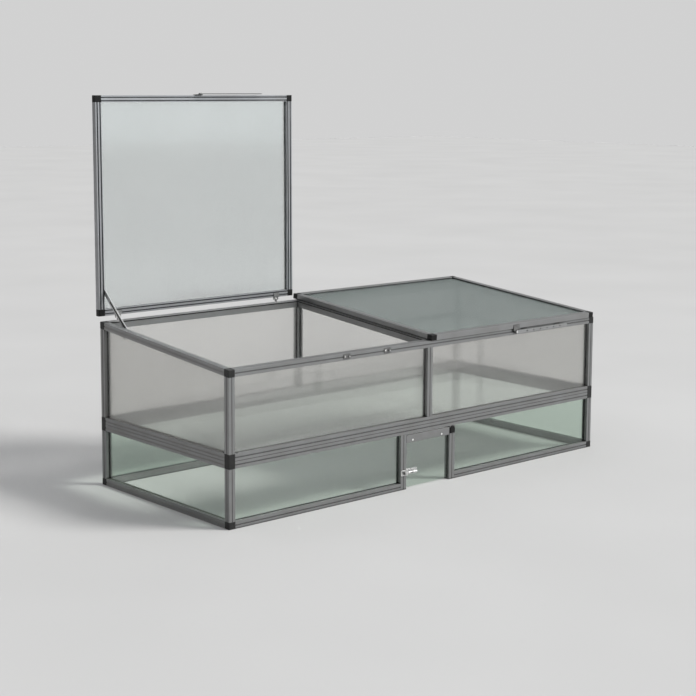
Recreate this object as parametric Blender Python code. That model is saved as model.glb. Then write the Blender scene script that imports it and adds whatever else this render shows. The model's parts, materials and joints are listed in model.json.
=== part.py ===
"""Outdoor tortoise enclosure: a clear base tier with a flap door, a raked cold frame on it, two lids.

Metres, +Z up. The front faces -Y and the width runs along X. The origin lies on the ground under the
middle of the whole object as it stands, with the left lid thrown open and the right lid shut.
Lengths of section and of travel are named here once; the places of all pieces follow from them.
"""
import math

import bmesh
import bpy
from mathutils import Matrix, Vector

# Frame, over the faces of its corner posts
WIDTH = 2.0
DEPTH = 0.84
PROFILE = 0.027
BASE_CLEAR = 0.195
UPPER_CLEAR = 0.280
BACK_RISE = 0.075
WALL = 0.0015
GAP = 0.0003
BITE = 0.002

# Face grooves and pane slot of the frame's profiles
GROOVE_WIDTH = 0.0045
GROOVE_DEPTH = 0.002
SEAM_WIDTH = 0.0016
POST_GROOVE_WIDTH = 0.003
POST_GROOVE_DEPTH = 0.0012
CHANNEL_WIDTH = 0.007
CHANNEL_DEPTH = 0.005
SLOT_SETBACK = 0.015
SLOT_GRIP = 0.006
SLOT_PLAY = 0.0003
PANE = 0.004
PANE_SHORT = 0.001
MID_POST_WIDTH = 0.028

# Black corner pieces
CAP_PROUD = 0.0008
CAP_BEVEL = 0.0012
SPIGOT_LENGTH = 0.018
SPIGOT_WIDE = 0.012
SPIGOT_HIGH = 0.008

# Lids
LID_OVERHANG = 0.0057
LID_THICK = 0.022
LID_INSET = 0.011
LID_SPLIT = 0.003
LID_SEAT = 0.0005
LID_SLOT_UP = 0.0132
LID_GROOVE_WIDTH = 0.005
LID_GROOVE_DEPTH = 0.004
LID_GROOVE_OUTER = 0.006
LID_GROOVE_INNER = 0.003
WEEP_RADIUS = 0.0016
OPEN_DEG = 95.5

# Lid hinges
AXIS_BEHIND = 0.029
AXIS_UP = 0.005
AXIS_CLEAR = 0.0076
HINGE_INSET = 0.090
PIN_RADIUS = 0.0022
PIN_PLAY = 0.0004
KNUCKLE_RADIUS = 0.0045
KNUCKLE_LENGTH = 0.010
CHEEK_LENGTH = 0.006
LEAF_WIDTH = 0.030
LEAF_LENGTH = 0.018
LEAF_THICK = 0.002
STRAP_THICK = 0.003
STRAP_DROP = 0.022

# Slotted struts
STRUT_ALONG = 0.104
STRUT_UP = 0.0035
STRUT_WIDTH = 0.018
STRUT_THICK = 0.0025
STRUT_SLOT = 0.007
STRUT_END = 0.012
STUD_RADIUS = 0.003
STUD_BACK = 0.128
STUD_PLATE_WIDTH = 0.022
STUD_PLATE_THICK = 0.002
STUD_PLATE_DROP = 0.019
RIVET_RADIUS = 0.0025
RIVET_HEAD = 0.006
HEAD_THICK = 0.002

# Casement stays
STAY_LENGTH = 0.317
STAY_WIDTH = 0.015
STAY_THICK = 0.0025
STAY_DROP = 0.0147
STAY_HOLES = 6
STAY_FIRST = 0.0615
STAY_LAST = 0.047
STAY_HOLE_RADIUS = 0.0035
STAY_PLATE_WIDTH = 0.034
STAY_PLATE_THICK = 0.0025
STAY_PLATE_UP = 0.015
PEG_RADIUS = 0.0028
PEG_PLATE_LENGTH = 0.034
PEG_PLATE_HEIGHT = 0.018
PEG_PLATE_THICK = 0.0015

# Flap door, a little to the left of the frame's middle
DOOR_WIDTH = 0.240
DOOR_ASIDE = 0.006
JAMB_WIDTH = 0.030
DOOR_PLAY = 0.0015
DOOR_AXIS_IN = 0.004
DOOR_AXIS_DOWN = 0.0055
BEAD_RADIUS = 0.0025
STRIP_HEIGHT = 0.030
STRIP_THICK = 0.002
STRIP_DEPTH = 0.010
DOOR_PIN_RADIUS = 0.002
DOOR_PIN_LENGTH = 0.005
DOOR_FOOT = 0.006
PLUG_HEIGHT = 0.030
PLUG_PROUD = 0.004

# Barrel bolt
BOLT_HEIGHT = 0.068
BOLT_PLATE_LENGTH = 0.062
BOLT_PLATE_HEIGHT = 0.024
BOLT_PLATE_THICK = 0.0015
BOLT_STAND = 0.0065
BARREL_RADIUS = 0.0052
BARREL_LENGTH = 0.046
BORE_RADIUS = 0.0034
ROD_RADIUS = 0.003
ROD_LENGTH = 0.050
BOLT_TRAVEL = 0.016
BOLT_EDGE = 0.001
KNOB_STEM = 0.0018
KNOB_RADIUS = 0.0035
KNOB_REACH = 0.009
KNOB_BALL = 0.004
KNOB_SLOT = 0.0045
KEEP_LOOP_LENGTH = 0.014
KEEP_WALL = 0.002
KEEP_CLEAR = 0.0045

ROUND_SIDES = 16
SMALL_SIDES = 12
SHARP_DEG = 35

# Levels and planes that follow from the sizes above
BASE_TOP = PROFILE + BASE_CLEAR
MID_TOP = BASE_TOP + 2 * PROFILE
FRONT_TOP = MID_TOP + UPPER_CLEAR + PROFILE
RAKE = BACK_RISE / DEPTH
RAKE_ANGLE = math.atan(RAKE)
OPEN_ANGLE = math.radians(OPEN_DEG)
LID_WIDTH = WIDTH / 2 - LID_INSET - LID_SPLIT / 2
LID_CENTRE = (WIDTH / 2 - LID_INSET + LID_SPLIT / 2) / 2
LID_END = (AXIS_BEHIND + DEPTH + LID_OVERHANG + AXIS_UP * math.sin(RAKE_ANGLE)) / math.cos(RAKE_ANGLE)
STAY_PITCH = (STAY_LENGTH - STAY_FIRST - STAY_LAST) / (STAY_HOLES - 1)
FRONT_REACH = BOLT_STAND + KNOB_REACH + KNOB_BALL
LEAN = OPEN_ANGLE - RAKE_ANGLE - math.pi / 2
BACK_REACH = (AXIS_BEHIND + (LID_THICK - AXIS_UP) * math.cos(LEAN) + LID_END * math.sin(LEAN))
FRONT = FRONT_REACH - (FRONT_REACH + DEPTH + BACK_REACH) / 2
BACK = FRONT + DEPTH
LEFT = -WIDTH / 2
RIGHT = WIDTH / 2
AXIS_Y = BACK + AXIS_BEHIND
AXIS_Z = FRONT_TOP + RAKE * (AXIS_Y - FRONT) + (LID_SEAT + AXIS_UP) / math.cos(RAKE_ANGLE)

TURN = {
    "X": Matrix(((0, 0, 1, 0), (1, 0, 0, 0), (0, 1, 0, 0), (0, 0, 0, 1))),
    "Y": Matrix(((1, 0, 0, 0), (0, 0, -1, 0), (0, 1, 0, 0), (0, 0, 0, 1))),
    "Z": Matrix.Identity(4),
}

FINISHES = {
    "aluminium": ((0.42, 0.43, 0.44, 1), 0.38, 1.0),
    "black_plastic": ((0.012, 0.012, 0.013, 1), 0.5, 0.0),
    "clear_pane": ((0.55, 0.62, 0.58, 1), 0.08, 0.0),
    "twin_wall_pane": ((0.62, 0.64, 0.63, 1), 0.3, 0.0),
    "bright_steel": ((0.62, 0.62, 0.62, 1), 0.18, 1.0),
}


def start_scene():
    for obj in list(bpy.data.objects):
        bpy.data.objects.remove(obj, do_unlink=True)
    collection = bpy.data.collections.new("tortoise_enclosure")
    bpy.context.scene.collection.children.link(collection)
    return collection


PARTS = start_scene()


def finish(name):
    material = bpy.data.materials.get(name)
    if material is None:
        colour, roughness, metallic = FINISHES[name]
        material = bpy.data.materials.new(name)
        material.use_nodes = True
        shader = material.node_tree.nodes["Principled BSDF"]
        shader.inputs["Base Color"].default_value = colour
        shader.inputs["Roughness"].default_value = roughness
        shader.inputs["Metallic"].default_value = metallic
    return material


def closed_mesh(bm, name):
    bmesh.ops.remove_doubles(bm, verts=bm.verts, dist=GAP / 10)
    bmesh.ops.recalc_face_normals(bm, faces=bm.faces)
    mesh = bpy.data.meshes.new(name)
    bm.to_mesh(mesh)
    bm.free()
    return mesh


def evaluated_mesh(obj, name):
    graph = bpy.context.evaluated_depsgraph_get()
    mesh = bpy.data.meshes.new_from_object(obj.evaluated_get(graph))
    bm = bmesh.new()
    bm.from_mesh(mesh)
    bpy.data.meshes.remove(mesh)
    return closed_mesh(bm, name)


def extruded(name, loops, start, end, axis):
    """Filled outline, with any inner loops as hollows, drawn out along one axis."""
    curve = bpy.data.curves.new(name, "CURVE")
    curve.dimensions = "2D"
    curve.fill_mode = "BOTH"
    curve.extrude = (end - start) / 2
    for loop in loops:
        spline = curve.splines.new("POLY")
        spline.points.add(len(loop) - 1)
        spline.use_cyclic_u = True
        for point, (across, up) in zip(spline.points, loop):
            point.co = (across, up, 0, 1)
    obj = bpy.data.objects.new(name, curve)
    PARTS.objects.link(obj)
    mesh = evaluated_mesh(obj, name)
    bpy.data.objects.remove(obj)
    bpy.data.curves.remove(curve)
    shift = {"X": Vector((1, 0, 0)), "Y": Vector((0, 1, 0)), "Z": Vector((0, 0, 1))}[axis]
    mesh.transform(Matrix.Translation(shift * (start + end) / 2) @ TURN[axis])
    return mesh


def block(name, low, high):
    low, high = Vector(low), Vector(high)
    bm = bmesh.new()
    bmesh.ops.create_cube(bm, size=1)
    size = high - low
    place = Matrix.Translation((low + high) / 2) @ Matrix.Diagonal((size.x, size.y, size.z, 1))
    bmesh.ops.transform(bm, matrix=place, verts=bm.verts)
    return closed_mesh(bm, name)


def rod(name, radius, start, end, axis, centre=(0, 0), sides=ROUND_SIDES):
    """Cylinder between two places on an axis; centre gives its two other coordinates."""
    bm = bmesh.new()
    bmesh.ops.create_cone(bm, cap_ends=True, segments=sides, radius1=radius, radius2=radius,
                          depth=end - start)
    bmesh.ops.translate(bm, vec=(centre[0], centre[1], (start + end) / 2), verts=bm.verts)
    turn = TURN[axis] if axis != "Y" else Matrix(((1, 0, 0, 0), (0, 0, 1, 0), (0, 1, 0, 0), (0, 0, 0, 1)))
    bmesh.ops.transform(bm, matrix=turn, verts=bm.verts)
    return closed_mesh(bm, name)


def arc(centre, radius, first, last, steps):
    points = []
    for step in range(steps + 1):
        angle = first + (last - first) * step / steps
        points.append((centre[0] + radius * math.cos(angle), centre[1] + radius * math.sin(angle)))
    return points


def ring(centre, radius, sides):
    return arc(centre, radius, 0, 2 * math.pi, sides)[:-1]


def stadium(start, end, radius, steps):
    """Outline of a bar with round ends, along the first coordinate."""
    right_end = arc((end, 0), radius, -math.pi / 2, math.pi / 2, steps)
    left_end = arc((start, 0), radius, math.pi / 2, 3 * math.pi / 2, steps)
    return right_end + left_end


def mirrored(loops, across, up):
    return [[(x * across, y * up) for x, y in loop] for loop in loops]


def piece(name, mesh, material, location=(0, 0, 0), parent=None):
    obj = bpy.data.objects.new(name, mesh)
    obj.data.materials.append(finish(material))
    obj.location = location
    obj.parent = parent
    PARTS.objects.link(obj)
    return obj


def combine(obj, mesh, operation):
    """Boolean of a piece with a mesh that is given in the piece's own coordinates."""
    tool = bpy.data.objects.new("tool", mesh)
    PARTS.objects.link(tool)
    kept_parent, kept_matrix = obj.parent, obj.matrix_basis.copy()
    obj.parent = None
    obj.matrix_basis = Matrix.Identity(4)
    cut = obj.modifiers.new("join", "BOOLEAN")
    cut.operation = operation
    cut.solver = "EXACT"
    cut.object = tool
    bpy.context.view_layer.update()
    result = evaluated_mesh(obj, obj.name)
    obj.modifiers.clear()
    materials = list(obj.data.materials)
    obj.data = result
    obj.data.materials.clear()
    for material in materials:
        obj.data.materials.append(material)
    obj.parent = kept_parent
    obj.matrix_basis = kept_matrix
    bpy.data.objects.remove(tool)


def add(obj, *meshes):
    for mesh in meshes:
        combine(obj, mesh, "UNION")


def cut(obj, *meshes):
    for mesh in meshes:
        combine(obj, mesh, "DIFFERENCE")


def bevelled(mesh, width):
    bm = bmesh.new()
    bm.from_mesh(mesh)
    bmesh.ops.bevel(bm, geom=bm.edges[:], offset=width, segments=1, affect="EDGES")
    return closed_mesh(bm, mesh.name)


def raked(mesh, from_y):
    """Lean a mesh to the fall of the top frame; from_y is where its own y starts from the front."""
    shear = Matrix.Identity(4)
    shear[2][1] = RAKE
    mesh.transform(shear)
    mesh.transform(Matrix.Translation((0, 0, RAKE * from_y)))
    return mesh


def top_at(y):
    return FRONT_TOP + RAKE * (y - FRONT)


def groove(middle, width, floor, face):
    """Corners of a groove in a flat face, along the face first."""
    low, high = middle - width / 2, middle + width / 2
    return [(low, face), (low, floor), (high, floor), (high, face)]


def turned(corners):
    """The same corners on the face that meets the first one at 0, in the outline's order."""
    return [(y, x) for x, y in reversed(corners)]


def rail_section():
    """Square tube: groove in its outer face at 0, pane slot in its upper side."""
    mid = PROFILE / 2
    slot_near = SLOT_SETBACK
    slot_far = SLOT_SETBACK + PANE + 2 * SLOT_PLAY
    slot_floor = PROFILE - SLOT_GRIP
    outer = [
        (0, 0), (PROFILE, 0), (PROFILE, PROFILE), (slot_far, PROFILE), (slot_far, slot_floor),
        (slot_near, slot_floor), (slot_near, PROFILE), (0, PROFILE),
    ] + turned(groove(mid, GROOVE_WIDTH, GROOVE_DEPTH, 0))
    inside = PROFILE - WALL
    hollow = [
        (WALL, WALL), (inside, WALL), (inside, inside), (slot_far + WALL, inside),
        (slot_far + WALL, slot_floor - WALL), (slot_near - WALL, slot_floor - WALL),
        (slot_near - WALL, inside), (WALL, inside),
    ] + turned(groove(mid, GROOVE_WIDTH + 2 * WALL, GROOVE_DEPTH + WALL, WALL))
    return [outer, hollow]


def double_section():
    """Two rails in one height: slots below and above, a seam between the two grooves."""
    upper_outer, upper_hollow = rail_section()
    height = 2 * PROFILE
    half = SEAM_WIDTH / 2
    upper = [(x, y + PROFILE) for x, y in upper_outer[1:]]
    lower = [(x, PROFILE - y) for x, y in upper_outer[1:]]
    seam = [(0, PROFILE + half), (GROOVE_DEPTH, PROFILE + half),
            (GROOVE_DEPTH, PROFILE - half), (0, PROFILE - half)]
    outer = upper[1:] + seam + list(reversed(lower[1:]))
    top_cell = [(x, y + PROFILE) for x, y in upper_hollow]
    low_cell = [(x, height - y) for x, y in top_cell]
    return [outer, top_cell, low_cell]


def corner_section():
    """Corner post: outer corner at 0, a groove in each outer face, a pane slot towards +x and one towards +y."""
    line = groove(PROFILE / 2, POST_GROOVE_WIDTH, POST_GROOVE_DEPTH, 0)
    inner_line = groove(PROFILE / 2, POST_GROOVE_WIDTH + 2 * WALL, POST_GROOVE_DEPTH + WALL, WALL)
    near = SLOT_SETBACK
    far = SLOT_SETBACK + PANE + 2 * SLOT_PLAY
    floor = PROFILE - SLOT_GRIP
    inside = PROFILE - WALL
    outer = [(0, 0)] + line + [
        (PROFILE, 0), (PROFILE, near), (floor, near), (floor, far), (PROFILE, far),
        (PROFILE, PROFILE), (far, PROFILE), (far, floor), (near, floor), (near, PROFILE), (0, PROFILE),
    ] + turned(line)
    hollow = [(WALL, WALL)] + inner_line + [
        (inside, WALL), (inside, near - WALL), (near - WALL, near - WALL), (near - WALL, inside), (WALL, inside),
    ] + turned(inner_line)
    return [outer, hollow]


def post_section(width, slots):
    """Post in a wall: x across the wall from its middle, y in from the grooved outer face to the channelled one."""
    line = groove(0, POST_GROOVE_WIDTH, POST_GROOVE_DEPTH, 0)
    inner_line = groove(0, POST_GROOVE_WIDTH + 2 * WALL, POST_GROOVE_DEPTH + WALL, WALL)
    channel = groove(0, CHANNEL_WIDTH, PROFILE - CHANNEL_DEPTH, PROFILE)
    half = width / 2
    near = SLOT_SETBACK
    far = SLOT_SETBACK + PANE + 2 * SLOT_PLAY
    floor = half - SLOT_GRIP
    back = PROFILE - CHANNEL_DEPTH - WALL
    outer = [(-half, 0)] + line + [(half, 0)]
    hollow = [(WALL - half, WALL)] + inner_line + [(half - WALL, WALL)]
    if "right" in slots:
        outer += [(half, near), (floor, near), (floor, far), (half, far)]
        hollow += [(half - WALL, near - WALL), (floor - WALL, near - WALL), (floor - WALL, back)]
    else:
        hollow += [(half - WALL, back)]
    outer += [(half, PROFILE)] + channel[::-1] + [(-half, PROFILE)]
    if "left" in slots:
        outer += [(-half, far), (-floor, far), (-floor, near), (-half, near)]
        hollow += [(WALL - floor, back), (WALL - floor, near - WALL), (WALL - half, near - WALL)]
    else:
        hollow += [(WALL - half, back)]
    return [outer, hollow]


def bar_section(width):
    half = width / 2
    outer = [(-half, -PROFILE), (half, -PROFILE), (half, 0), (-half, 0)]
    inset = half - WALL
    hollow = [(-inset, WALL - PROFILE), (inset, WALL - PROFILE), (inset, -WALL), (-inset, -WALL)]
    return [outer, hollow]


def lid_section():
    """Lid rail: x in from the lid's edge, y up from its underside, pane slot in its inner side."""
    groove_a = LID_GROOVE_OUTER
    groove_b = PROFILE - LID_GROOVE_INNER - LID_GROOVE_WIDTH
    deep = LID_GROOVE_DEPTH
    slot_low = LID_SLOT_UP
    slot_high = LID_SLOT_UP + PANE + 2 * SLOT_PLAY
    slot_floor = PROFILE - SLOT_GRIP
    top = LID_THICK
    outer = [
        (0, 0), (groove_a, 0), (groove_a, deep), (groove_a + LID_GROOVE_WIDTH, deep),
        (groove_a + LID_GROOVE_WIDTH, 0), (groove_b, 0), (groove_b, deep),
        (groove_b + LID_GROOVE_WIDTH, deep), (groove_b + LID_GROOVE_WIDTH, 0), (PROFILE, 0),
        (PROFILE, slot_low), (slot_floor, slot_low), (slot_floor, slot_high), (PROFILE, slot_high),
        (PROFILE, top), (0, top),
    ]
    inside = PROFILE - WALL
    roof = deep + WALL
    hollow = [
        (WALL, WALL), (groove_a - WALL, WALL), (groove_a - WALL, roof),
        (groove_a + LID_GROOVE_WIDTH + WALL, roof), (groove_a + LID_GROOVE_WIDTH + WALL, WALL),
        (groove_b - WALL, WALL), (groove_b - WALL, roof), (inside, roof),
        (inside, slot_low - WALL), (slot_floor - WALL, slot_low - WALL),
        (slot_floor - WALL, slot_high + WALL), (inside, slot_high + WALL), (inside, top - WALL),
        (WALL, top - WALL),
    ]
    return [outer, hollow]


CORNERS = (("front_left", 1, 1), ("front_right", -1, 1), ("back_left", 1, -1), ("back_right", -1, -1))


def corner_place(across, along):
    x = LEFT if across > 0 else RIGHT
    y = FRONT if along > 0 else BACK
    return x, y


def corner_post(across, along, start, end):
    """Upright corner profile in the corner's own frame; its section is the same about the diagonal."""
    mesh = extruded("post", corner_section(), start, end, "Z")
    mesh.transform(Matrix.Rotation(math.atan2(along, across) - math.pi / 4, 4, "Z"))
    return mesh


def corner_block(name, across, along, low, high):
    """Black corner piece, proud of the profiles on its two outer faces, in the corner's own frame."""
    ends_x = sorted((-CAP_PROUD * across, PROFILE * across))
    ends_y = sorted((-CAP_PROUD * along, PROFILE * along))
    mesh = block(name, (ends_x[0], ends_y[0], low), (ends_x[1], ends_y[1], high))
    return bevelled(mesh, CAP_BEVEL)


def wall_mesh(name, wall, loops, start, end):
    """Profile along a wall, its section measured in from the wall's outer face and up."""
    side = 1 if wall in ("front", "left") else -1
    axis = "X" if wall in ("front", "back") else "Y"
    return extruded(name, mirrored(loops, side, 1), start, end, axis)


def wall_place(wall, height):
    places = {"front": (0, FRONT), "back": (0, BACK), "left": (LEFT, 0), "right": (RIGHT, 0)}
    return (*places[wall], height)


def wall_ends(wall):
    """Where the profiles of a wall start and end, between its corner pieces."""
    if wall in ("front", "back"):
        return LEFT + PROFILE + GAP, RIGHT - PROFILE - GAP
    return FRONT + PROFILE + GAP, BACK - PROFILE - GAP


def pane_mesh(name, wall, start, end, low, high_start, high_end):
    """Pane for the clear opening of a wall; it grips the slots and is notched round the corner pieces."""
    side = 1 if wall in ("front", "left") else -1
    grip = SLOT_GRIP - PANE_SHORT
    drop = GAP + RAKE * PROFILE
    outline = [
        (start, low - grip), (end, low - grip), (end, low + GAP), (end + grip, low + GAP),
        (end + grip, high_end - drop), (end, high_end - drop), (end, high_end + grip),
        (start, high_start + grip), (start, high_start - drop), (start - grip, high_start - drop),
        (start - grip, low + GAP), (start, low + GAP),
    ]
    near = SLOT_SETBACK + SLOT_PLAY
    ends = sorted((side * near, side * (near + PANE)))
    axis = "Y" if wall in ("front", "back") else "X"
    return extruded(name, [outline], ends[0], ends[1], axis)


def build_base():
    for corner, across, along in CORNERS:
        x, y = corner_place(across, along)
        post = piece(f"base_post_{corner}", corner_post(across, along, PROFILE - BITE, BASE_TOP - GAP),
                     "aluminium", (x, y, 0))
        add(post, corner_block("foot", across, along, 0, PROFILE))
    for wall in ("back", "left", "right"):
        start, end = wall_ends(wall)
        mesh = wall_mesh("rail", wall, rail_section(), start, end)
        piece(f"bottom_rail_{wall}", mesh, "aluminium", wall_place(wall, 0))
        mesh = pane_mesh("pane", wall, start, end, PROFILE, BASE_TOP, BASE_TOP)
        piece(f"base_pane_{wall}", mesh, "clear_pane", wall_place(wall, 0))
    jamb_out = DOOR_WIDTH / 2 + JAMB_WIDTH
    for name, side in (("left", -1), ("right", 1)):
        far = WIDTH / 2 - PROFILE - GAP
        ends = sorted((side * (jamb_out + GAP) - DOOR_ASIDE, side * far))
        mesh = wall_mesh("rail", "front", rail_section(), ends[0], ends[1])
        piece(f"bottom_rail_front_{name}", mesh, "aluminium", wall_place("front", 0))
        mesh = pane_mesh("pane", "front", ends[0], ends[1], PROFILE, BASE_TOP, BASE_TOP)
        piece(f"base_pane_front_{name}", mesh, "clear_pane", wall_place("front", 0))
        build_jamb(name, side)


def build_jamb(name, side):
    section = post_section(JAMB_WIDTH, name)
    centre = side * (DOOR_WIDTH + JAMB_WIDTH) / 2 - DOOR_ASIDE
    jamb = piece(f"door_jamb_{name}", extruded("jamb", section, 0, BASE_TOP - GAP, "Z"),
                 "aluminium", (centre, FRONT, 0))
    inner = -side * JAMB_WIDTH / 2
    ends = sorted((inner + side * 2 * WALL, inner - side * WALL))
    bore = rod("bore", DOOR_PIN_RADIUS + PIN_PLAY, ends[0], ends[1], "X",
               (DOOR_AXIS_IN, BASE_TOP - DOOR_AXIS_DOWN), SMALL_SIDES)
    cut(jamb, bore)
    if side > 0:
        half = JAMB_WIDTH / 2
        seat = POST_GROOVE_DEPTH + WALL / 2
        outline = [(-half + GAP, seat), (-half + GAP, -PLUG_PROUD / 2), (0, -PLUG_PROUD),
                   (half - GAP, -PLUG_PROUD / 2), (half - GAP, seat)]
        top = BASE_TOP - 2 * GAP
        add(jamb, extruded("plug", [outline], top - PLUG_HEIGHT, top, "Z"))


def spigots(across, along, height):
    """Plugs of a middle corner piece: two into each double rail, one into each post."""
    depth_mid = PROFILE / 2
    wide, high = SPIGOT_WIDE / 2, SPIGOT_HIGH / 2
    cell = (PROFILE - SLOT_GRIP) / 2
    meshes = []
    for level in (height + PROFILE - cell, height + PROFILE + cell):
        for axis in ("X", "Y"):
            sign = across if axis == "X" else along
            other = along if axis == "X" else across
            ends = sorted((sign * (PROFILE - BITE), sign * (PROFILE + SPIGOT_LENGTH)))
            middle = other * depth_mid
            if axis == "X":
                low, upper = (ends[0], middle - wide, level - high), (ends[1], middle + wide, level + high)
            else:
                low, upper = (middle - wide, ends[0], level - high), (middle + wide, ends[1], level + high)
            meshes.append(block("spigot", low, upper))
    centre = SLOT_SETBACK / 2
    half = SPIGOT_HIGH / 2
    for ends in ((height - SPIGOT_LENGTH, height + BITE),
                 (height + 2 * PROFILE - BITE, height + 2 * PROFILE + SPIGOT_LENGTH)):
        x, y = across * centre, along * centre
        meshes.append(block("spigot", (x - half, y - half, ends[0]), (x + half, y + half, ends[1])))
    return meshes


def build_middle():
    for corner, across, along in CORNERS:
        x, y = corner_place(across, along)
        mesh = corner_block("cap", across, along, BASE_TOP, MID_TOP)
        cap = piece(f"mid_cap_{corner}", mesh, "black_plastic", (x, y, 0))
        add(cap, *spigots(across, along, BASE_TOP))
    for wall in ("front", "back", "left", "right"):
        start, end = wall_ends(wall)
        mesh = wall_mesh("rail", wall, double_section(), start, end)
        piece(f"mid_rail_{wall}", mesh, "aluminium", wall_place(wall, BASE_TOP))


def build_upper_posts():
    for corner, across, along in CORNERS:
        x, y = corner_place(across, along)
        cap_low = FRONT_TOP - PROFILE
        inner_y = y + along * PROFILE
        reach = top_at(max(y, inner_y)) - PROFILE + BITE
        post = piece(f"upper_post_{corner}", corner_post(across, along, MID_TOP + GAP, reach),
                     "aluminium", (x, y, 0))
        add(post, raked(corner_block("cap", across, along, cap_low, FRONT_TOP), y - FRONT))
    section = post_section(MID_POST_WIDTH, "left right")
    top = top_at(FRONT) - PROFILE - GAP
    piece("mid_post_front", extruded("post", section, MID_TOP + GAP, top, "Z"), "aluminium", (0, FRONT, 0))
    top = top_at(BACK - PROFILE) - PROFILE - GAP
    piece("mid_post_back", extruded("post", mirrored(section, 1, -1), MID_TOP + GAP, top, "Z"),
          "aluminium", (0, BACK, 0))


def build_top_frame():
    section = [[(x, -y) for x, y in loop] for loop in rail_section()]
    rails = {}
    for wall in ("front", "back", "left", "right"):
        start, end = wall_ends(wall)
        place = wall_place(wall, 0)
        mesh = wall_mesh("rail", wall, section, start, end)
        mesh.transform(Matrix.Translation((0, 0, FRONT_TOP)))
        rails[wall] = piece(f"top_rail_{wall}", raked(mesh, place[1] - FRONT), "aluminium", place)
    start, end = wall_ends("left")
    mesh = extruded("bar", bar_section(MID_POST_WIDTH), start, end, "Y")
    mesh.transform(Matrix.Translation((0, 0, FRONT_TOP)))
    piece("centre_bar", raked(mesh, -FRONT), "aluminium")
    for side in (-1, 1):
        for order in (0, STAY_HOLES - 1):
            add_peg(rails["front"], side * LID_CENTRE + STAY_FIRST + STAY_PITCH * order)
        for hinge in hinge_places():
            add(rails["back"], *strap_meshes(side * LID_CENTRE + hinge))
    for wall, side in (("left", -1), ("right", 1)):
        stud_y, stud_z = stud_place()
        inner = PROFILE - BITE / 2
        reach = WIDTH / 2 - strut_outer() - GAP
        ends = sorted((-side * inner, -side * reach))
        faces = sorted((-side * inner, -side * (PROFILE + STUD_PLATE_THICK)))
        half = STUD_PLATE_WIDTH / 2
        plate = block("plate", (faces[0], stud_y - half, stud_z - PROFILE / 2 - STUD_PLATE_DROP),
                      (faces[1], stud_y + half, stud_z + 2 * STUD_RADIUS))
        add(rails[wall], plate,
            rod("stud", STUD_RADIUS, ends[0], ends[1], "X", (stud_y, stud_z), SMALL_SIDES))


def add_peg(rail, x):
    height = FRONT_TOP - PROFILE / 2
    half = PEG_PLATE_HEIGHT / 2
    plate = block("plate", (x - PEG_PLATE_LENGTH + PEG_PLATE_HEIGHT / 2, -PEG_PLATE_THICK, height - half),
                  (x + PEG_PLATE_HEIGHT / 2, WALL / 2, height + half))
    reach = stay_plane() - STAY_THICK / 2 - GAP
    peg = rod("peg", PEG_RADIUS, -reach, -PEG_PLATE_THICK / 2, "Y", (x, height), SMALL_SIDES)
    add(rail, plate, peg)


def hinge_places():
    return (HINGE_INSET - LID_WIDTH / 2, LID_WIDTH / 2 - HINGE_INSET)


def strap_meshes(x):
    """Fixed half of a lid hinge: a leaf on the back rail and an arm under the axis to its bored knuckle."""
    half = KNUCKLE_LENGTH / 2
    axis = (AXIS_BEHIND, AXIS_Z)
    web = STRAP_THICK / 2
    arm_top = AXIS_Z - KNUCKLE_RADIUS - LEAF_THICK - AXIS_UP
    leaf = block("leaf", (x - LEAF_WIDTH / 2, -WALL / 2, top_at(BACK) - STRAP_DROP),
                 (x + LEAF_WIDTH / 2, STRAP_THICK, arm_top - web))
    neck = math.acos(web / KNUCKLE_RADIUS)
    outline = [(web, arm_top), (web, arm_top - STRAP_THICK), (AXIS_BEHIND + web, arm_top - STRAP_THICK)]
    outline += arc(axis, KNUCKLE_RADIUS, -neck, math.pi + neck, ROUND_SIDES)
    outline += [(AXIS_BEHIND - web, arm_top)]
    bore = ring(axis, PIN_RADIUS + PIN_PLAY, SMALL_SIDES)
    return leaf, extruded("arm", [outline, bore], x - half, x + half, "X")


def build_upper_panes():
    for wall in ("front", "back"):
        start, end = wall_ends(wall)
        near = SLOT_SETBACK + SLOT_PLAY
        lowest = FRONT + near if wall == "front" else BACK - near - PANE
        high = top_at(lowest) - PROFILE
        edge = MID_POST_WIDTH / 2 + GAP
        mesh = pane_mesh("pane", wall, start, -edge, MID_TOP, high, high)
        piece(f"upper_pane_{wall}_left", mesh, "twin_wall_pane", wall_place(wall, 0))
        mesh = pane_mesh("pane", wall, edge, end, MID_TOP, high, high)
        piece(f"upper_pane_{wall}_right", mesh, "twin_wall_pane", wall_place(wall, 0))
    start, end = wall_ends("left")
    for wall in ("left", "right"):
        high_start = top_at(start) - PROFILE
        high_end = top_at(end) - PROFILE
        mesh = pane_mesh("pane", wall, start, end, MID_TOP, high_start, high_end)
        piece(f"upper_pane_{wall}", mesh, "twin_wall_pane", wall_place(wall, 0))


def strut_outer():
    """Outer face of a strut, from the middle of the enclosure."""
    return LID_CENTRE + LID_WIDTH / 2 - PROFILE - GAP


def stud_place():
    """Stud of a strut on its side rail: y and z in the middle of the rail's inner face."""
    y = BACK - STUD_BACK
    return y, top_at(y) - PROFILE / 2


def lid_angle(opened):
    """Turn of a lid about X from level, with its hinge behind and its front edge towards -Y."""
    return RAKE_ANGLE - opened


def strut_pivot(opened):
    along, up = STRUT_ALONG, STRUT_UP - AXIS_UP
    turn = lid_angle(opened)
    y = AXIS_Y - along * math.cos(turn) - up * math.sin(turn)
    z = AXIS_Z - along * math.sin(turn) + up * math.cos(turn)
    return y, z


def strut_reach(opened):
    """Distance from a strut's pivot to its stud, and the turn that points the strut at the stud."""
    pivot_y, pivot_z = strut_pivot(opened)
    stud_y, stud_z = stud_place()
    span = math.hypot(stud_y - pivot_y, stud_z - pivot_z)
    turn = math.atan2(pivot_z - stud_z, pivot_y - stud_y)
    return span, turn


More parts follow.
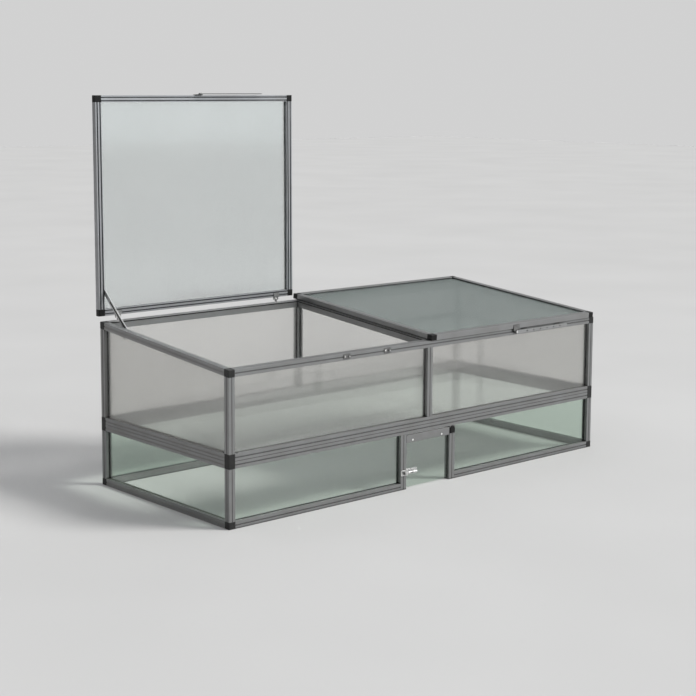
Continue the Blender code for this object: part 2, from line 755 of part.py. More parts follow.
def stay_plane():
    """How far the middle of a stay's bar stands in front of the frame when its lid is shut."""
    return LID_OVERHANG + GAP + STAY_PLATE_THICK + GAP + STAY_THICK / 2


def stay_place():
    """Pivot of a stay in its lid's frame: y and z from the hinge axis with the lid level."""
    y = FRONT - stay_plane() - AXIS_Y
    z = FRONT_TOP - STAY_DROP - AXIS_Z
    turn = Matrix.Rotation(-RAKE_ANGLE, 3, "X")
    local = turn @ Vector((0, y, z))
    return local.y, local.z


def empty(name, location, turn, parent=None):
    obj = bpy.data.objects.new(name, None)
    obj.location = location
    obj.rotation_euler.x = turn
    obj.parent = parent
    PARTS.objects.link(obj)
    return obj


def build_lid(name, side, opened):
    axis = empty(f"{name}_axis", (side * LID_CENTRE, AXIS_Y, AXIS_Z), lid_angle(opened))
    half = LID_WIDTH / 2
    base = -AXIS_UP
    section = lid_section()
    for rail_side, across in (("left", 1), ("right", -1)):
        edge = -across * half
        loops = mirrored(section, across, 1)
        mesh = extruded("rail", loops, -LID_END + PROFILE - BITE, -AXIS_CLEAR - PROFILE + BITE, "Y")
        rail = piece(f"{name}_rail_{rail_side}", mesh, "aluminium", (edge, 0, base), axis)
        add(rail, lid_cap(across, -LID_END, -LID_END + PROFILE))
        add(rail, lid_cap(across, -AXIS_CLEAR - PROFILE, -AXIS_CLEAR))
        weep = (across * (LID_GROOVE_OUTER + LID_GROOVE_WIDTH / 2), 2 * PROFILE - LID_END)
        cut(rail, rod("weep", WEEP_RADIUS, -BITE, LID_GROOVE_DEPTH + WALL + BITE, "Z", weep, SMALL_SIDES))
        if across == -side:
            add(rail, *rivet_meshes(across))
    inner = half - PROFILE - GAP
    front_loops = [[(x - LID_END, y) for x, y in loop] for loop in section]
    front = piece(f"{name}_rail_front", extruded("rail", front_loops, -inner, inner, "X"),
                  "aluminium", (0, 0, base), axis)
    back_loops = [[(-x - AXIS_CLEAR, y) for x, y in loop] for loop in section]
    back = piece(f"{name}_rail_back", extruded("rail", back_loops, -inner, inner, "X"),
                 "aluminium", (0, 0, base), axis)
    for hinge in hinge_places():
        add(back, *leaf_meshes(hinge))
    low = LID_SLOT_UP + SLOT_PLAY
    mesh = extruded("pane", [lid_pane_outline()], low, low + PANE, "Z")
    piece(f"{name}_pane", mesh, "twin_wall_pane", (0, 0, base), axis)
    build_strut(name, side, opened, axis)
    build_stay(name, front, axis)


def lid_pane_outline():
    """Pane of a lid: it grips the rails' slots and is notched round the corner pieces."""
    grip = SLOT_GRIP - PANE_SHORT
    side = LID_WIDTH / 2 - PROFILE - GAP
    front = -LID_END + PROFILE + GAP
    back = -AXIS_CLEAR - PROFILE - GAP
    return [
        (-side, front - grip), (side, front - grip), (side, front), (side + grip, front),
        (side + grip, back), (side, back), (side, back + grip), (-side, back + grip),
        (-side, back), (-side - grip, back), (-side - grip, front), (-side, front),
    ]


def lid_cap(across, start, end):
    ends = sorted((-CAP_PROUD * across, PROFILE * across))
    return bevelled(block("cap", (ends[0], start, 0), (ends[1], end, LID_THICK)), CAP_BEVEL)


def leaf_meshes(x):
    """Moving half of a lid hinge, in the back rail's own frame: leaf, two cheeks and the pin."""
    leaf = block("leaf", (x - LEAF_WIDTH / 2, -AXIS_CLEAR - LEAF_LENGTH, -LEAF_THICK),
                 (x + LEAF_WIDTH / 2, -AXIS_CLEAR - WALL, WALL / 2))
    meshes = [leaf]
    inner = KNUCKLE_LENGTH / 2 + GAP
    for side in (-1, 1):
        ends = sorted((x + side * inner, x + side * (inner + CHEEK_LENGTH)))
        outline = arc((0, AXIS_UP), KNUCKLE_RADIUS, math.pi / 2, -math.pi / 2, ROUND_SIDES // 2)
        outline += [(-AXIS_CLEAR - WALL / 2, AXIS_UP - KNUCKLE_RADIUS),
                    (-AXIS_CLEAR - WALL / 2, AXIS_UP + KNUCKLE_RADIUS)]
        meshes.append(extruded("cheek", [outline], ends[0], ends[1], "X"))
    span = inner + CHEEK_LENGTH / 2
    meshes.append(rod("pin", PIN_RADIUS, x - span, x + span, "X", (0, AXIS_UP), SMALL_SIDES))
    return meshes


def rivet_meshes(across):
    """Rivet that carries a strut: shank through the bar, head on its far side."""
    place = (-STRUT_ALONG, STRUT_UP)
    face = PROFILE
    ends = (face - WALL / 2, face + 2 * GAP + STRUT_THICK + HEAD_THICK / 2)
    low, high = sorted((across * ends[0], across * ends[1]))
    shank = rod("shank", RIVET_RADIUS, low, high, "X", place, SMALL_SIDES)
    start = face + 2 * GAP + STRUT_THICK
    low, high = sorted((across * start, across * (start + HEAD_THICK)))
    head = rod("head", RIVET_HEAD, low, high, "X", place, SMALL_SIDES)
    return shank, head


def build_strut(name, side, opened, axis):
    turn = strut_reach(opened)[1] - lid_angle(opened)
    x = side * (strut_outer() - LID_CENTRE - STRUT_THICK / 2)
    pivot = empty(f"{name}_strut_axis", (x, -STRUT_ALONG, STRUT_UP - AXIS_UP), turn, axis)
    nearest = strut_reach(0)[0]
    furthest = strut_reach(OPEN_ANGLE)[0]
    play = STRUT_SLOT / 2 - STUD_RADIUS
    outer = stadium(0, furthest + STRUT_END, STRUT_WIDTH / 2, ROUND_SIDES // 2)
    slot = stadium(nearest - play, furthest + play, STRUT_SLOT / 2, ROUND_SIDES // 2)
    hole = ring((0, 0), RIVET_RADIUS + PIN_PLAY, SMALL_SIDES)
    loops = mirrored([outer, slot, hole], -1, 1)
    mesh = extruded("bar", loops, -STRUT_THICK / 2, STRUT_THICK / 2, "X")
    piece(f"{name}_strut", mesh, "aluminium", (0, 0, 0), pivot)


def build_stay(name, front_rail, axis):
    """Casement stay: a plate down from the lid's front rail and the bar that turns on its rivet."""
    y, z = stay_place()
    pivot = empty(f"{name}_stay_axis", (0, y, z), -RAKE_ANGLE, axis)
    back = STAY_THICK / 2 + GAP
    half = STAY_PLATE_WIDTH / 2
    tip = STAY_WIDTH / 2
    top = STAY_DROP + STAY_PLATE_UP
    outline = [(-half, top), (half, top), (half, tip)]
    outline += arc((0, 0), tip, 0, -math.pi, ROUND_SIDES // 2) + [(-half, tip)]
    plate = extruded("plate", [outline], back, back + STAY_PLATE_THICK, "Y")
    shank = rod("shank", RIVET_RADIUS, -back - HEAD_THICK / 2, back + WALL, "Y", (0, 0), SMALL_SIDES)
    head = rod("head", RIVET_HEAD, -back - HEAD_THICK, -back, "Y", (0, 0), SMALL_SIDES)
    to_rail = Matrix.Translation((0, y, z + AXIS_UP)) @ Matrix.Rotation(-RAKE_ANGLE, 4, "X")
    for mesh in (plate, shank, head):
        mesh.transform(to_rail)
        add(front_rail, mesh)
    loops = [stadium(0, STAY_LENGTH - tip, tip, ROUND_SIDES // 2),
             ring((0, 0), RIVET_RADIUS + PIN_PLAY, SMALL_SIDES)]
    for order in range(STAY_HOLES):
        loops.append(ring((STAY_FIRST + STAY_PITCH * order, 0), STAY_HOLE_RADIUS, SMALL_SIDES))
    mesh = extruded("bar", loops, -STAY_THICK / 2, STAY_THICK / 2, "Y")
    piece(f"{name}_stay", mesh, "aluminium", (0, 0, 0), pivot)


def build_door():
    axis_z = BASE_TOP - DOOR_AXIS_DOWN
    axis = empty("door_axis", (-DOOR_ASIDE, FRONT + DOOR_AXIS_IN, axis_z), 0)
    half = DOOR_WIDTH / 2 - DOOR_PLAY
    strip = piece("door_hinge_strip", extruded("strip", [strip_outline()], -half, half, "X"),
                  "aluminium", (0, 0, 0), axis)
    for side in (-1, 1):
        ends = sorted((side * (half - BITE), side * (half + DOOR_PIN_LENGTH)))
        add(strip, rod("pin", DOOR_PIN_RADIUS, ends[0], ends[1], "X", (0, 0), SMALL_SIDES))
    pane_front = STRIP_DEPTH - DOOR_AXIS_IN + GAP
    mesh = block("flap", (-half, pane_front, DOOR_FOOT - axis_z),
                 (half, pane_front + PANE, -BEAD_RADIUS - GAP))
    piece("door_flap", mesh, "clear_pane", (0, 0, 0), axis)
    build_bolt(axis, half, pane_front, axis_z)


def strip_outline():
    """Hinge strip of the flap: a bead round the axis above a channel that is open to the pane behind."""
    face = -DOOR_AXIS_IN
    web = face + STRIP_THICK
    back = face + STRIP_DEPTH
    foot = STRIP_THICK - STRIP_HEIGHT
    lip = -BEAD_RADIUS - GAP
    outline = arc((0, 0), BEAD_RADIUS, -math.pi / 3, math.pi, ROUND_SIDES)
    outline += [(face, 0), (face, -STRIP_HEIGHT), (back, -STRIP_HEIGHT), (back, foot), (web, foot)]
    outline += [(web, lip - STRIP_THICK), (back, lip - STRIP_THICK), (back, lip)]
    return outline


def build_bolt(axis, half, pane_front, axis_z):
    """Barrel bolt at the flap's lower left: body on the pane, rod drawn back, keep on the jamb."""
    level = BOLT_HEIGHT - axis_z
    rod_y = -DOOR_AXIS_IN - BOLT_STAND
    left = -half + BOLT_EDGE
    back = pane_front - GAP
    high = BOLT_PLATE_HEIGHT / 2
    body = piece("bolt_body", block("plate", (left, back - BOLT_PLATE_THICK, level - high),
                                    (left + BOLT_PLATE_LENGTH, back, level + high)),
                 "bright_steel", (0, 0, 0), axis)
    start = left + BOLT_EDGE
    saddle = block("saddle", (start, rod_y, level - BARREL_RADIUS / 2),
                   (start + BARREL_LENGTH, back - BOLT_PLATE_THICK / 2, level + BARREL_RADIUS / 2))
    barrel = rod("barrel", BARREL_RADIUS, start, start + BARREL_LENGTH, "X", (rod_y, level))
    add(body, saddle, barrel)
    cut(body, rod("bore", BORE_RADIUS, start - BITE, start + BARREL_LENGTH + BITE, "X", (rod_y, level)))
    knob_x = left + BOLT_EDGE + BOLT_TRAVEL + KNOB_SLOT + KNOB_RADIUS
    slot_low = knob_x - BOLT_TRAVEL - KNOB_SLOT / 2
    slot = block("slot", (slot_low, rod_y - BARREL_RADIUS - BITE, level - KNOB_SLOT / 2),
                 (knob_x + KNOB_SLOT / 2, rod_y, level + KNOB_SLOT / 2))
    cut(body, slot)
    bolt = piece("bolt_rod", rod("rod", ROD_RADIUS, left, left + ROD_LENGTH, "X", (rod_y, level)),
                 "bright_steel", (0, 0, 0), axis)
    reach = rod_y - KNOB_REACH
    stem = rod("stem", KNOB_STEM, reach - KNOB_BALL / 2, rod_y, "Y", (knob_x, level), SMALL_SIDES)
    knob = rod("knob", KNOB_RADIUS, reach - KNOB_BALL, reach, "Y", (knob_x, level), SMALL_SIDES)
    add(bolt, stem, knob)
    build_keep()


def build_keep():
    """Keep on the left jamb: a plate with a square loop that the rod slides into."""
    centre = -(DOOR_WIDTH + JAMB_WIDTH) / 2 - DOOR_ASIDE
    half = JAMB_WIDTH / 2 - GAP
    high = BOLT_PLATE_HEIGHT / 2
    back = -GAP
    keep = piece("bolt_keep", block("plate", (-half, back - BOLT_PLATE_THICK, -high), (half, back, high)),
                 "bright_steel", (centre, FRONT, BOLT_HEIGHT))
    out = KEEP_CLEAR + KEEP_WALL
    inside = KEEP_CLEAR
    plate_face = back - BOLT_PLATE_THICK
    front = -BOLT_STAND - KEEP_CLEAR
    outline = [
        (plate_face + BOLT_PLATE_THICK / 2, -out), (plate_face + BOLT_PLATE_THICK / 2, -inside),
        (front, -inside), (front, inside), (plate_face + BOLT_PLATE_THICK / 2, inside),
        (plate_face + BOLT_PLATE_THICK / 2, out), (front - KEEP_WALL, out), (front - KEEP_WALL, -out),
    ]
    add(keep, extruded("loop", [outline], half - KEEP_LOOP_LENGTH, half, "X"))


def soften_shading():
    for obj in PARTS.objects:
        if obj.type == "MESH":
            obj.data.shade_smooth()
            obj.data.set_sharp_from_angle(angle=math.radians(SHARP_DEG))


build_base()
build_middle()
build_upper_posts()
build_top_frame()
build_upper_panes()
build_lid("lid_left", -1, OPEN_ANGLE)
build_lid("lid_right", 1, 0)
build_door()
soften_shading()
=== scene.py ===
"""Looks of the two-tier tortoise enclosure: satin profiles, black corner pieces, fluted and clear sheets."""
import json
import math

import bmesh
import bpy
from mathutils import Matrix, Vector


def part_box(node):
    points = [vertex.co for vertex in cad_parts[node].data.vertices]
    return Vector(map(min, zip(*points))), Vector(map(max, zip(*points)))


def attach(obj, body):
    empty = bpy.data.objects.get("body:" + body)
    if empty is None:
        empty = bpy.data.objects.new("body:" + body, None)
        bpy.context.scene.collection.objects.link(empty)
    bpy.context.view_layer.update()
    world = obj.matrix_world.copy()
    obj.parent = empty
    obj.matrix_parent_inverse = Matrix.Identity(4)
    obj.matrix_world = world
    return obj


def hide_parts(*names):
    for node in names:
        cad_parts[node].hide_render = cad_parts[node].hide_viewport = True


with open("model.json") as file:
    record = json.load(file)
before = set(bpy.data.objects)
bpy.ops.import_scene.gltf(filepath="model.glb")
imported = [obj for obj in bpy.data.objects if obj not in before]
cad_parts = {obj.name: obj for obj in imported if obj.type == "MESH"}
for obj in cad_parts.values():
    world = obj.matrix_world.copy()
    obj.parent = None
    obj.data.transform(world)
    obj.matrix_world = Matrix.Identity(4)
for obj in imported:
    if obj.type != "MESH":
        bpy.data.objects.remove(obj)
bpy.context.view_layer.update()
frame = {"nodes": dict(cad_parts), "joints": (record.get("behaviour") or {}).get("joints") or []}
JOINTS = {joint["name"]: joint for joint in frame["joints"]}

# The enclosure's main lines, all taken from the frame
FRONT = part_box("mid_rail_front")[0].y
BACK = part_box("mid_rail_back")[1].y
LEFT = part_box("mid_rail_left")[0].x
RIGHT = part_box("mid_rail_right")[1].x
BASE_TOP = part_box("mid_rail_front")[0].z
MID_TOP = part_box("mid_rail_front")[1].z
BAR_LOW, BAR_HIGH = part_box("centre_bar")
PROFILE = round(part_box("bottom_rail_back")[1].z, 6)
RAKE = (BAR_HIGH.z - BAR_LOW.z - PROFILE) / (BAR_HIGH.y - BAR_LOW.y)
RAKE_ANGLE = math.atan(RAKE)
FRONT_TOP = BAR_HIGH.z - RAKE * (BAR_HIGH.y - FRONT)
OPEN_ANGLE = math.radians(JOINTS["right_lid"]["range_deg"][1])

# Sizes of the CAD's fittings that no box gives
AXIS_CLEAR = 0.0076
AXIS_UP = 0.005
LID_END = 0.02
PLATE = 0.0015
PEG_RADIUS = 0.0028
SLOT_HALF = 0.0035
PIVOT_REACH = 0.010
TIP_WALL = 0.002
COVER_DROP = 0.030

# Pieces made from one node overlap by a hair. Slivers get creases, and so does a face that is much broader
# than the bends beside it
OVERLAP = 0.00005
SLIVER = 0.00001
BROAD = 8

# Twin-wall sheets: two skins with a rib between them at every flute
SKIN = 0.00035
FLUTE = 0.0062
RIB = 0.0004
FLUTE_INSET = 0.0075

# Corner pieces with three low ribs on each outer face
CAP_PROUD = 0.0008
CAP_ROUND = 0.0014
RIB_HALF = 0.0011
RIB_PROUD = 0.0003
RIB_SHORT = 0.004
RIB_PLACES = (0.22, 0.5, 0.78)

# Seal strips that also paint the shade of the gap under the lids, painted shade in the strut slots, clips and
# heads: radius and height of each kind of head
SEAL_PROUD = 0.0006
SEAL_HEIGHT = 0.004
SEAL_DOWN = 0.0006
SOFT_EDGE = 0.0002
SLOT_SHADE_THICK = 0.001
CLIP_ASIDE = PROFILE + 0.014
CLIP_DEEP = 0.0075
HEADS = {"button": (0.0034, 0.0022), "dome": (0.0048, 0.0026), "small": (0.0019, 0.0011)}
STRIP_RIVET_UP = 0.009
STRIP_RIVET_PLACES = (0.15, 0.80)
PEG_SCREW_ASIDE = 0.018

# Camera as fitted to the photo, its place in metres and its turns in degrees
IMAGE_PIXELS = 696
LENS_PIXELS = 1536.2494
SENSOR_MM = 36
CAMERA_PLACE = (-4.2261, -4.7395, 1.5898)
CAMERA_YAW, CAMERA_PITCH, CAMERA_ROLL = 41.3567, -7.1823, 0.2782
CAMERA_SHIFT = -0.1


def top_at(y):
    """Height of the raked top of the frame."""
    return FRONT_TOP + RAKE * (y - FRONT)


def lid_matrix(side):
    """Frame of a lid at rest: origin on its hinge axis, y back along the lid, z up through it."""
    opened = OPEN_ANGLE if side == "left" else 0.0
    turn = Matrix.Rotation(RAKE_ANGLE - opened, 4, "X")
    return Matrix.Translation(JOINTS[f"{side}_lid"]["pos_m"]) @ turn


# Node helpers

def put(tree, kind, settings=None, inputs=None):
    """New node with its settings, and each input linked to a socket or set to a value."""
    made = tree.nodes.new(kind)
    for key, value in (settings or {}).items():
        setattr(made, key, value)
    for key, value in (inputs or {}).items():
        socket = made.inputs[key]
        if isinstance(value, bpy.types.NodeSocket):
            tree.links.new(value, socket)
        else:
            socket.default_value = value
    return made


def new_material(name):
    """Material with its tree, its Principled shader and its output node."""
    material = bpy.data.materials.new(name)
    material.use_nodes = True
    tree = material.node_tree
    return material, tree, tree.nodes["Principled BSDF"], tree.nodes["Material Output"]


def noise(tree, vector, scale, detail=3.0, rough=0.5):
    """Noise from 0 to 1."""
    return put(tree, "ShaderNodeTexNoise", None,
               {"Vector": vector, "Scale": scale, "Detail": detail, "Roughness": rough}).outputs["Fac"]


def spread(tree, value, low, high, start=0.3, stop=0.7):
    """A value that goes from low to high while the given one goes from start to stop."""
    return put(tree, "ShaderNodeMapRange", None, {
        "Value": value, "From Min": start, "From Max": stop, "To Min": low, "To Max": high}).outputs["Result"]


def mix(tree, factor, first, second):
    """Colour between the first and the second."""
    made = put(tree, "ShaderNodeMix", {"data_type": "RGBA"})
    for socket, value in ((made.inputs[0], factor), (made.inputs[6], first), (made.inputs[7], second)):
        if isinstance(value, bpy.types.NodeSocket):
            tree.links.new(value, socket)
        else:
            socket.default_value = value
    return made.outputs[2]


def grey(level, warm=0.0):
    """Neutral tone, a little warmer or cooler."""
    return (level * (1 + warm), level, level * (1 - warm), 1.0)


def places(tree, turn=(0, 0, 0), stretch=(1, 1, 1)):
    """Places in the object's own space, turned and stretched."""
    where = put(tree, "ShaderNodeTexCoord").outputs["Object"]
    return put(tree, "ShaderNodeMapping", None,
               {"Vector": where, "Rotation": turn, "Scale": stretch}).outputs["Vector"]


def aluminium(name, along, turn=0.0, level=0.27, crease_shade_level=0.06, metal=0.92, cool=0.0):
    """Satin extrusion: die lines along it, faint oxide clouds, edges painted lighter as rubbed wear and as a
    painted highlight, and painted shade in its grooves.
    """
    material, tree, shader, _ = new_material(name)
    fine = [1400.0, 1400.0, 1400.0]
    fine["XYZ".index(along)] = 3.0
    lines = noise(tree, places(tree, (turn, 0, 0), fine), 1.0, 1.0)
    clouds = noise(tree, places(tree), 9.0, 4.0, 0.6)
    specks = noise(tree, places(tree), 420.0, 2.0)
    tone = mix(tree, spread(tree, clouds, 0, 1), grey(level * 0.90, 0.01), grey(level * 1.08, -0.012))
    tone = mix(tree, spread(tree, lines, 0, 0.22), tone, grey(level * 0.82, -0.01))
    # Edges painted lighter: partly rubbed wear, partly a painted highlight along them.
    edge = put(tree, "ShaderNodeBevel", {"samples": 4}, {"Radius": 0.0009}).outputs["Normal"]
    true_side = put(tree, "ShaderNodeNewGeometry").outputs["Normal"]
    flat = put(tree, "ShaderNodeVectorMath", {"operation": "DOT_PRODUCT"}, {0: edge, 1: true_side})
    edge_wear_and_highlight = spread(tree, flat.outputs["Value"], 0.35, 0.0, 0.80, 0.995)
    tone = mix(tree, edge_wear_and_highlight, tone, grey(min(level * 1.35, 0.8)))
    # Painted shade: darker colour where the AO node finds grooves, recesses and joints close by.
    crease_shade = put(tree, "ShaderNodeAmbientOcclusion", {"samples": 6}, {"Distance": 0.007}).outputs["AO"]
    tone = mix(tree, spread(tree, crease_shade, 0, 1, 0.48, 0.96), grey(level * crease_shade_level, 0.04), tone)
    tint = put(tree, "ShaderNodeVectorMath", {"operation": "MULTIPLY"},
               {0: tone, 1: (1 - cool * 0.5, 1 - cool * 0.2, 1 + cool)}).outputs[0]
    tree.links.new(tint, shader.inputs["Base Color"])
    shader.inputs["Metallic"].default_value = metal
    rough = put(tree, "ShaderNodeMath", {"operation": "ADD"},
                {0: spread(tree, lines, 0.40, 0.47), 1: spread(tree, specks, -0.02, 0.04)}).outputs[0]
    rough = put(tree, "ShaderNodeMath", {"operation": "MULTIPLY_ADD"}, {0: edge_wear_and_highlight, 1: 1.0, 2: rough}).outputs[0]
    tree.links.new(rough, shader.inputs["Roughness"])
    bump = put(tree, "ShaderNodeBump", None,
               {"Strength": 0.07, "Distance": 0.0002, "Height": lines, "Normal": edge})
    tree.links.new(bump.outputs["Normal"], shader.inputs["Normal"])
    return material


def moulded(name, level=0.012, gleam=0.4):
    """Black moulded corner piece: fine spark texture, a little dust on it."""
    material, tree, shader, _ = new_material(name)
    grain = noise(tree, places(tree), 1500.0, 3.0)
    dust = noise(tree, places(tree), 26.0, 5.0, 0.65)
    tree.links.new(mix(tree, spread(tree, dust, 0, 1, 0.45, 0.8), grey(level), grey(level * 2.4, 0.04)),
                   shader.inputs["Base Color"])
    tree.links.new(spread(tree, dust, 0.38, 0.58), shader.inputs["Roughness"])
    shader.inputs["Specular IOR Level"].default_value = gleam
    bump = put(tree, "ShaderNodeBump", None, {"Strength": 0.25, "Distance": 0.0003, "Height": grain})
    tree.links.new(bump.outputs["Normal"], shader.inputs["Normal"])
    return material


def bright(name, low, high, metal, rough):
    """Plated fittings: fine wipe marks and faint stains, and painted shade in their recesses."""
    material, tree, shader, _ = new_material(name)
    wipes = noise(tree, places(tree, (0.3, 0.2, 0.6), (1200, 90, 500)), 1.0, 2.0)
    stain = noise(tree, places(tree), 60.0, 4.0)
    tone = mix(tree, spread(tree, stain, 0, 1), grey(low), grey(high, 0.01))
    # Painted shade: darker colour where the AO node finds recesses and joints close by.
    crease_shade = put(tree, "ShaderNodeAmbientOcclusion", {"samples": 6}, {"Distance": 0.006}).outputs["AO"]
    tree.links.new(mix(tree, spread(tree, crease_shade, 0, 1, 0.45, 0.92), grey(low * 0.08, 0.05), tone),
                   shader.inputs["Base Color"])
    shader.inputs["Metallic"].default_value = metal
    tree.links.new(spread(tree, wipes, rough * 0.8, rough * 1.4), shader.inputs["Roughness"])
    bump = put(tree, "ShaderNodeBump", None, {"Strength": 0.05, "Distance": 0.0002, "Height": wipes})
    tree.links.new(bump.outputs["Normal"], shader.inputs["Normal"])
    return material


def sheet_material(name, tint, haze_tone, haze, gloss, soft=0.0, smudge=0.1, streaks=(3, 3, 3),
                   sheen=(0.93, 0.93, 0.93, 1)):
    """Clear or milky sheet: a tint and a haze over what is behind it, and a shine at low angles."""
    material, tree, shader, output = new_material(name)
    smears = noise(tree, places(tree), 5.0, 4.0, 0.6)
    lines = noise(tree, places(tree, (0, 0, 0), streaks), 1.0, 1.0)
    tone = mix(tree, spread(tree, smears, 0, 1), haze_tone, [c * 0.93 for c in haze_tone[:3]] + [1])
    tree.links.new(tone, shader.inputs["Base Color"])
    tree.links.new(spread(tree, smears, 0.2, 0.3), shader.inputs["Roughness"])
    bump = put(tree, "ShaderNodeBump", None, {"Strength": 0.06, "Distance": 0.0004, "Height": lines})
    tree.links.new(bump.outputs["Normal"], shader.inputs["Normal"])
    behind = put(tree, "ShaderNodeBsdfTransparent", None, {"Color": tint}).outputs[0]
    if soft:
        bent = put(tree, "ShaderNodeBsdfRefraction", None,
                   {"Color": tint, "Roughness": smudge, "IOR": 1.12}).outputs[0]
        behind = put(tree, "ShaderNodeMixShader", None, {0: soft, 1: behind, 2: bent}).outputs[0]
    cloud = spread(tree, smears, haze * 0.85, haze * 1.15)
    hazy = put(tree, "ShaderNodeMixShader", None, {0: cloud, 1: behind, 2: shader.outputs[0]}).outputs[0]
    shine = put(tree, "ShaderNodeBsdfGlossy", None, {
        "Color": sheen, "Roughness": spread(tree, smears, gloss * 0.85, gloss * 1.3),
        "Normal": bump.outputs["Normal"]}).outputs[0]
    glancing = put(tree, "ShaderNodeLayerWeight", None, {"Blend": 0.5}).outputs["Facing"]
    glancing = put(tree, "ShaderNodeMath", {"operation": "POWER"}, {0: glancing, 1: 4.5}).outputs[0]
    amount = put(tree, "ShaderNodeMath", {"operation": "MULTIPLY_ADD"},
                 {0: glancing, 1: 0.9, 2: 0.035}).outputs[0]
    whole = put(tree, "ShaderNodeMixShader", None, {0: amount, 1: hazy, 2: shine}).outputs[0]
    tree.links.new(whole, output.inputs["Surface"])
    return material


ALU_X = aluminium("profile_along_x", "X", 0.0, 0.29)
ALU_Y = aluminium("profile_along_y", "Y", 0.0, 0.28, 1.0)
ALU_Z = aluminium("profile_along_z", "Z", 0.0, 0.29)
# Lit and shaded copies: the left lid's profiles are painted lighter and cooler than the right lid's, as
# painted sky light on the open lid, with darker painted shade in their grooves.
LID_ALU_X = {
    "left": aluminium("left_lid_profile_along_x_painted_light", "X", 0.0, 0.39, 0.03, 0.92, 0.03),
    "right": aluminium("right_lid_profile_along_x", "X", 0.0, 0.32),
}
LID_ALU = {
    "left": aluminium("left_lid_profile_upright_painted_light", "Y", OPEN_ANGLE - RAKE_ANGLE, 0.37, 0.03, 0.92, 0.03),
    "right": aluminium("right_lid_profile_along_y", "Y", -RAKE_ANGLE, 0.31),
}
# Lit and shaded copies: the left stay is painted darker than the right one, as painted shade.
STAY = {
    "left": aluminium("left_stay_bar_painted_shade", "X", 0.0, 0.22),
    "right": aluminium("right_stay_bar", "X", 0.0, 0.36),
}
STRUT = aluminium("strut_bar", "Y", 0.0, 0.60)
BLACK = moulded("black_moulding", 0.010)
DEEP_BLACK = moulded("black_lid_moulding", 0.004, 0.25)
BRIGHT = bright("bright_plate", 0.60, 0.74, 0.93, 0.24)
ZINC = bright("zinc_plate", 0.34, 0.46, 0.95, 0.28)
DULL_ZINC = bright("dull_zinc_plate", 0.15, 0.24, 0.9, 0.34)
RIVET = bright("polished_rivet", 0.84, 0.93, 0.45, 0.3)
CLEAR = sheet_material("clear_sheet", (0.87, 0.91, 0.88, 1), (0.50, 0.60, 0.54, 1), haze=0.02, gloss=0.04)
MILKY = sheet_material("milky_skin", (0.968, 0.967, 0.963, 1), (0.84, 0.84, 0.83, 1), haze=0.028, gloss=0.12,
                       soft=0.8, smudge=0.11, streaks=(160, 160, 2))
LID_MILKY = sheet_material("lid_skin", (0.966, 0.968, 0.969, 1), (0.73, 0.81, 0.79, 1), haze=0.035,
                           gloss=0.08, soft=0.8, smudge=0.10, streaks=(160, 4, 4),
                           sheen=(0.88, 0.965, 0.945, 1))


# Mesh helpers

def add_piece(name, mesh, material, body, stands_for=()):
    """Finished piece on a body, in place of the nodes that it stands for."""
    mesh.materials.clear()
    mesh.materials.append(material)
    obj = bpy.data.objects.new(name, mesh)
    bpy.context.scene.collection.objects.link(obj)
    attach(obj, body)
    if stands_for:
        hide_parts(*stands_for)
    return obj


def to_mesh(bm, name, smooth=40):
    """Mesh creased at its sharp edges and beside slivers; a broad face next to narrow bends stays flat."""
    bmesh.ops.recalc_face_normals(bm, faces=bm.faces)
    slivers = {face for face in bm.faces
               if face.calc_area() < SLIVER * max(edge.calc_length() for edge in face.edges)}
    for edge in bm.edges:
        pair = edge.link_faces
        even = len(pair) == 2 and not slivers.intersection(pair)
        edge.smooth = even and edge.calc_face_angle() < math.radians(smooth)
    for face in bm.faces:
        bends = [other for edge in face.edges if edge.smooth and edge.calc_face_angle() > 0.01
                 for other in edge.link_faces if other is not face]
        face.smooth = bool(bends) and face.calc_area() < BROAD * max(other.calc_area() for other in bends)
    mesh = bpy.data.meshes.new(name)
    bm.to_mesh(mesh)
    bm.free()
    return mesh


def copy_of(node):
    """Copy of a CAD node's mesh with its corners joined."""
    bm = bmesh.new()
    bm.from_mesh(frame["nodes"][node].data)
    bmesh.ops.remove_doubles(bm, verts=bm.verts, dist=0.00001)
    return bm


def sliced(bm, point, away):
    """Keeps what lies behind a plane and closes the cut."""
    cut = bmesh.ops.bisect_plane(bm, geom=bm.verts[:] + bm.edges[:] + bm.faces[:], dist=0.000001,
                                 plane_co=point, plane_no=away, clear_outer=True)
    rim = [item for item in cut["geom_cut"] if isinstance(item, bmesh.types.BMEdge)]
    bmesh.ops.triangle_fill(bm, edges=rim, use_beauty=True, use_dissolve=False)
    return bm


def parted(bm, point, away):
    """A body cut in two by a plane: what lies behind it, then what lies beyond it."""
    beyond = bm.copy()
    return sliced(bm, point, away), sliced(beyond, point, [-share for share in away])


def soft_block(low, high, bevel, segments=3):
    """Block between two corners with rounded edges."""
    bm = bmesh.new()
    bmesh.ops.create_cube(bm, size=1)
    low, high = Vector(low), Vector(high)
    size = high - low
    bmesh.ops.transform(bm, verts=bm.verts,
                        matrix=Matrix.Translation((low + high) / 2) @ Matrix.Diagonal((*size, 1)))
    bmesh.ops.bevel(bm, geom=bm.edges[:], offset=bevel, segments=segments, profile=0.5, affect="EDGES")
    return bm


def joined(*parts):
    """Several meshes as one. The parts are used up."""
    whole = bmesh.new()
    for part in parts:
        mesh = bpy.data.meshes.new("part")
        part.to_mesh(mesh)
        part.free()
        whole.from_mesh(mesh)
        bpy.data.meshes.remove(mesh)
    return whole


# Profiles and corner pieces

def corner_box(corner):
    """Ends in x and in y of the corner piece at a corner of the frame."""
    x = LEFT if "left" in corner else RIGHT
    y = FRONT if "front" in corner else BACK
    across = 1 if "left" in corner else -1
    along = 1 if "front" in corner else -1
    ends_x = sorted((x - CAP_PROUD * across, x + PROFILE * across))
    ends_y = sorted((y - CAP_PROUD * along, y + PROFILE * along))
    return ends_x, ends_y


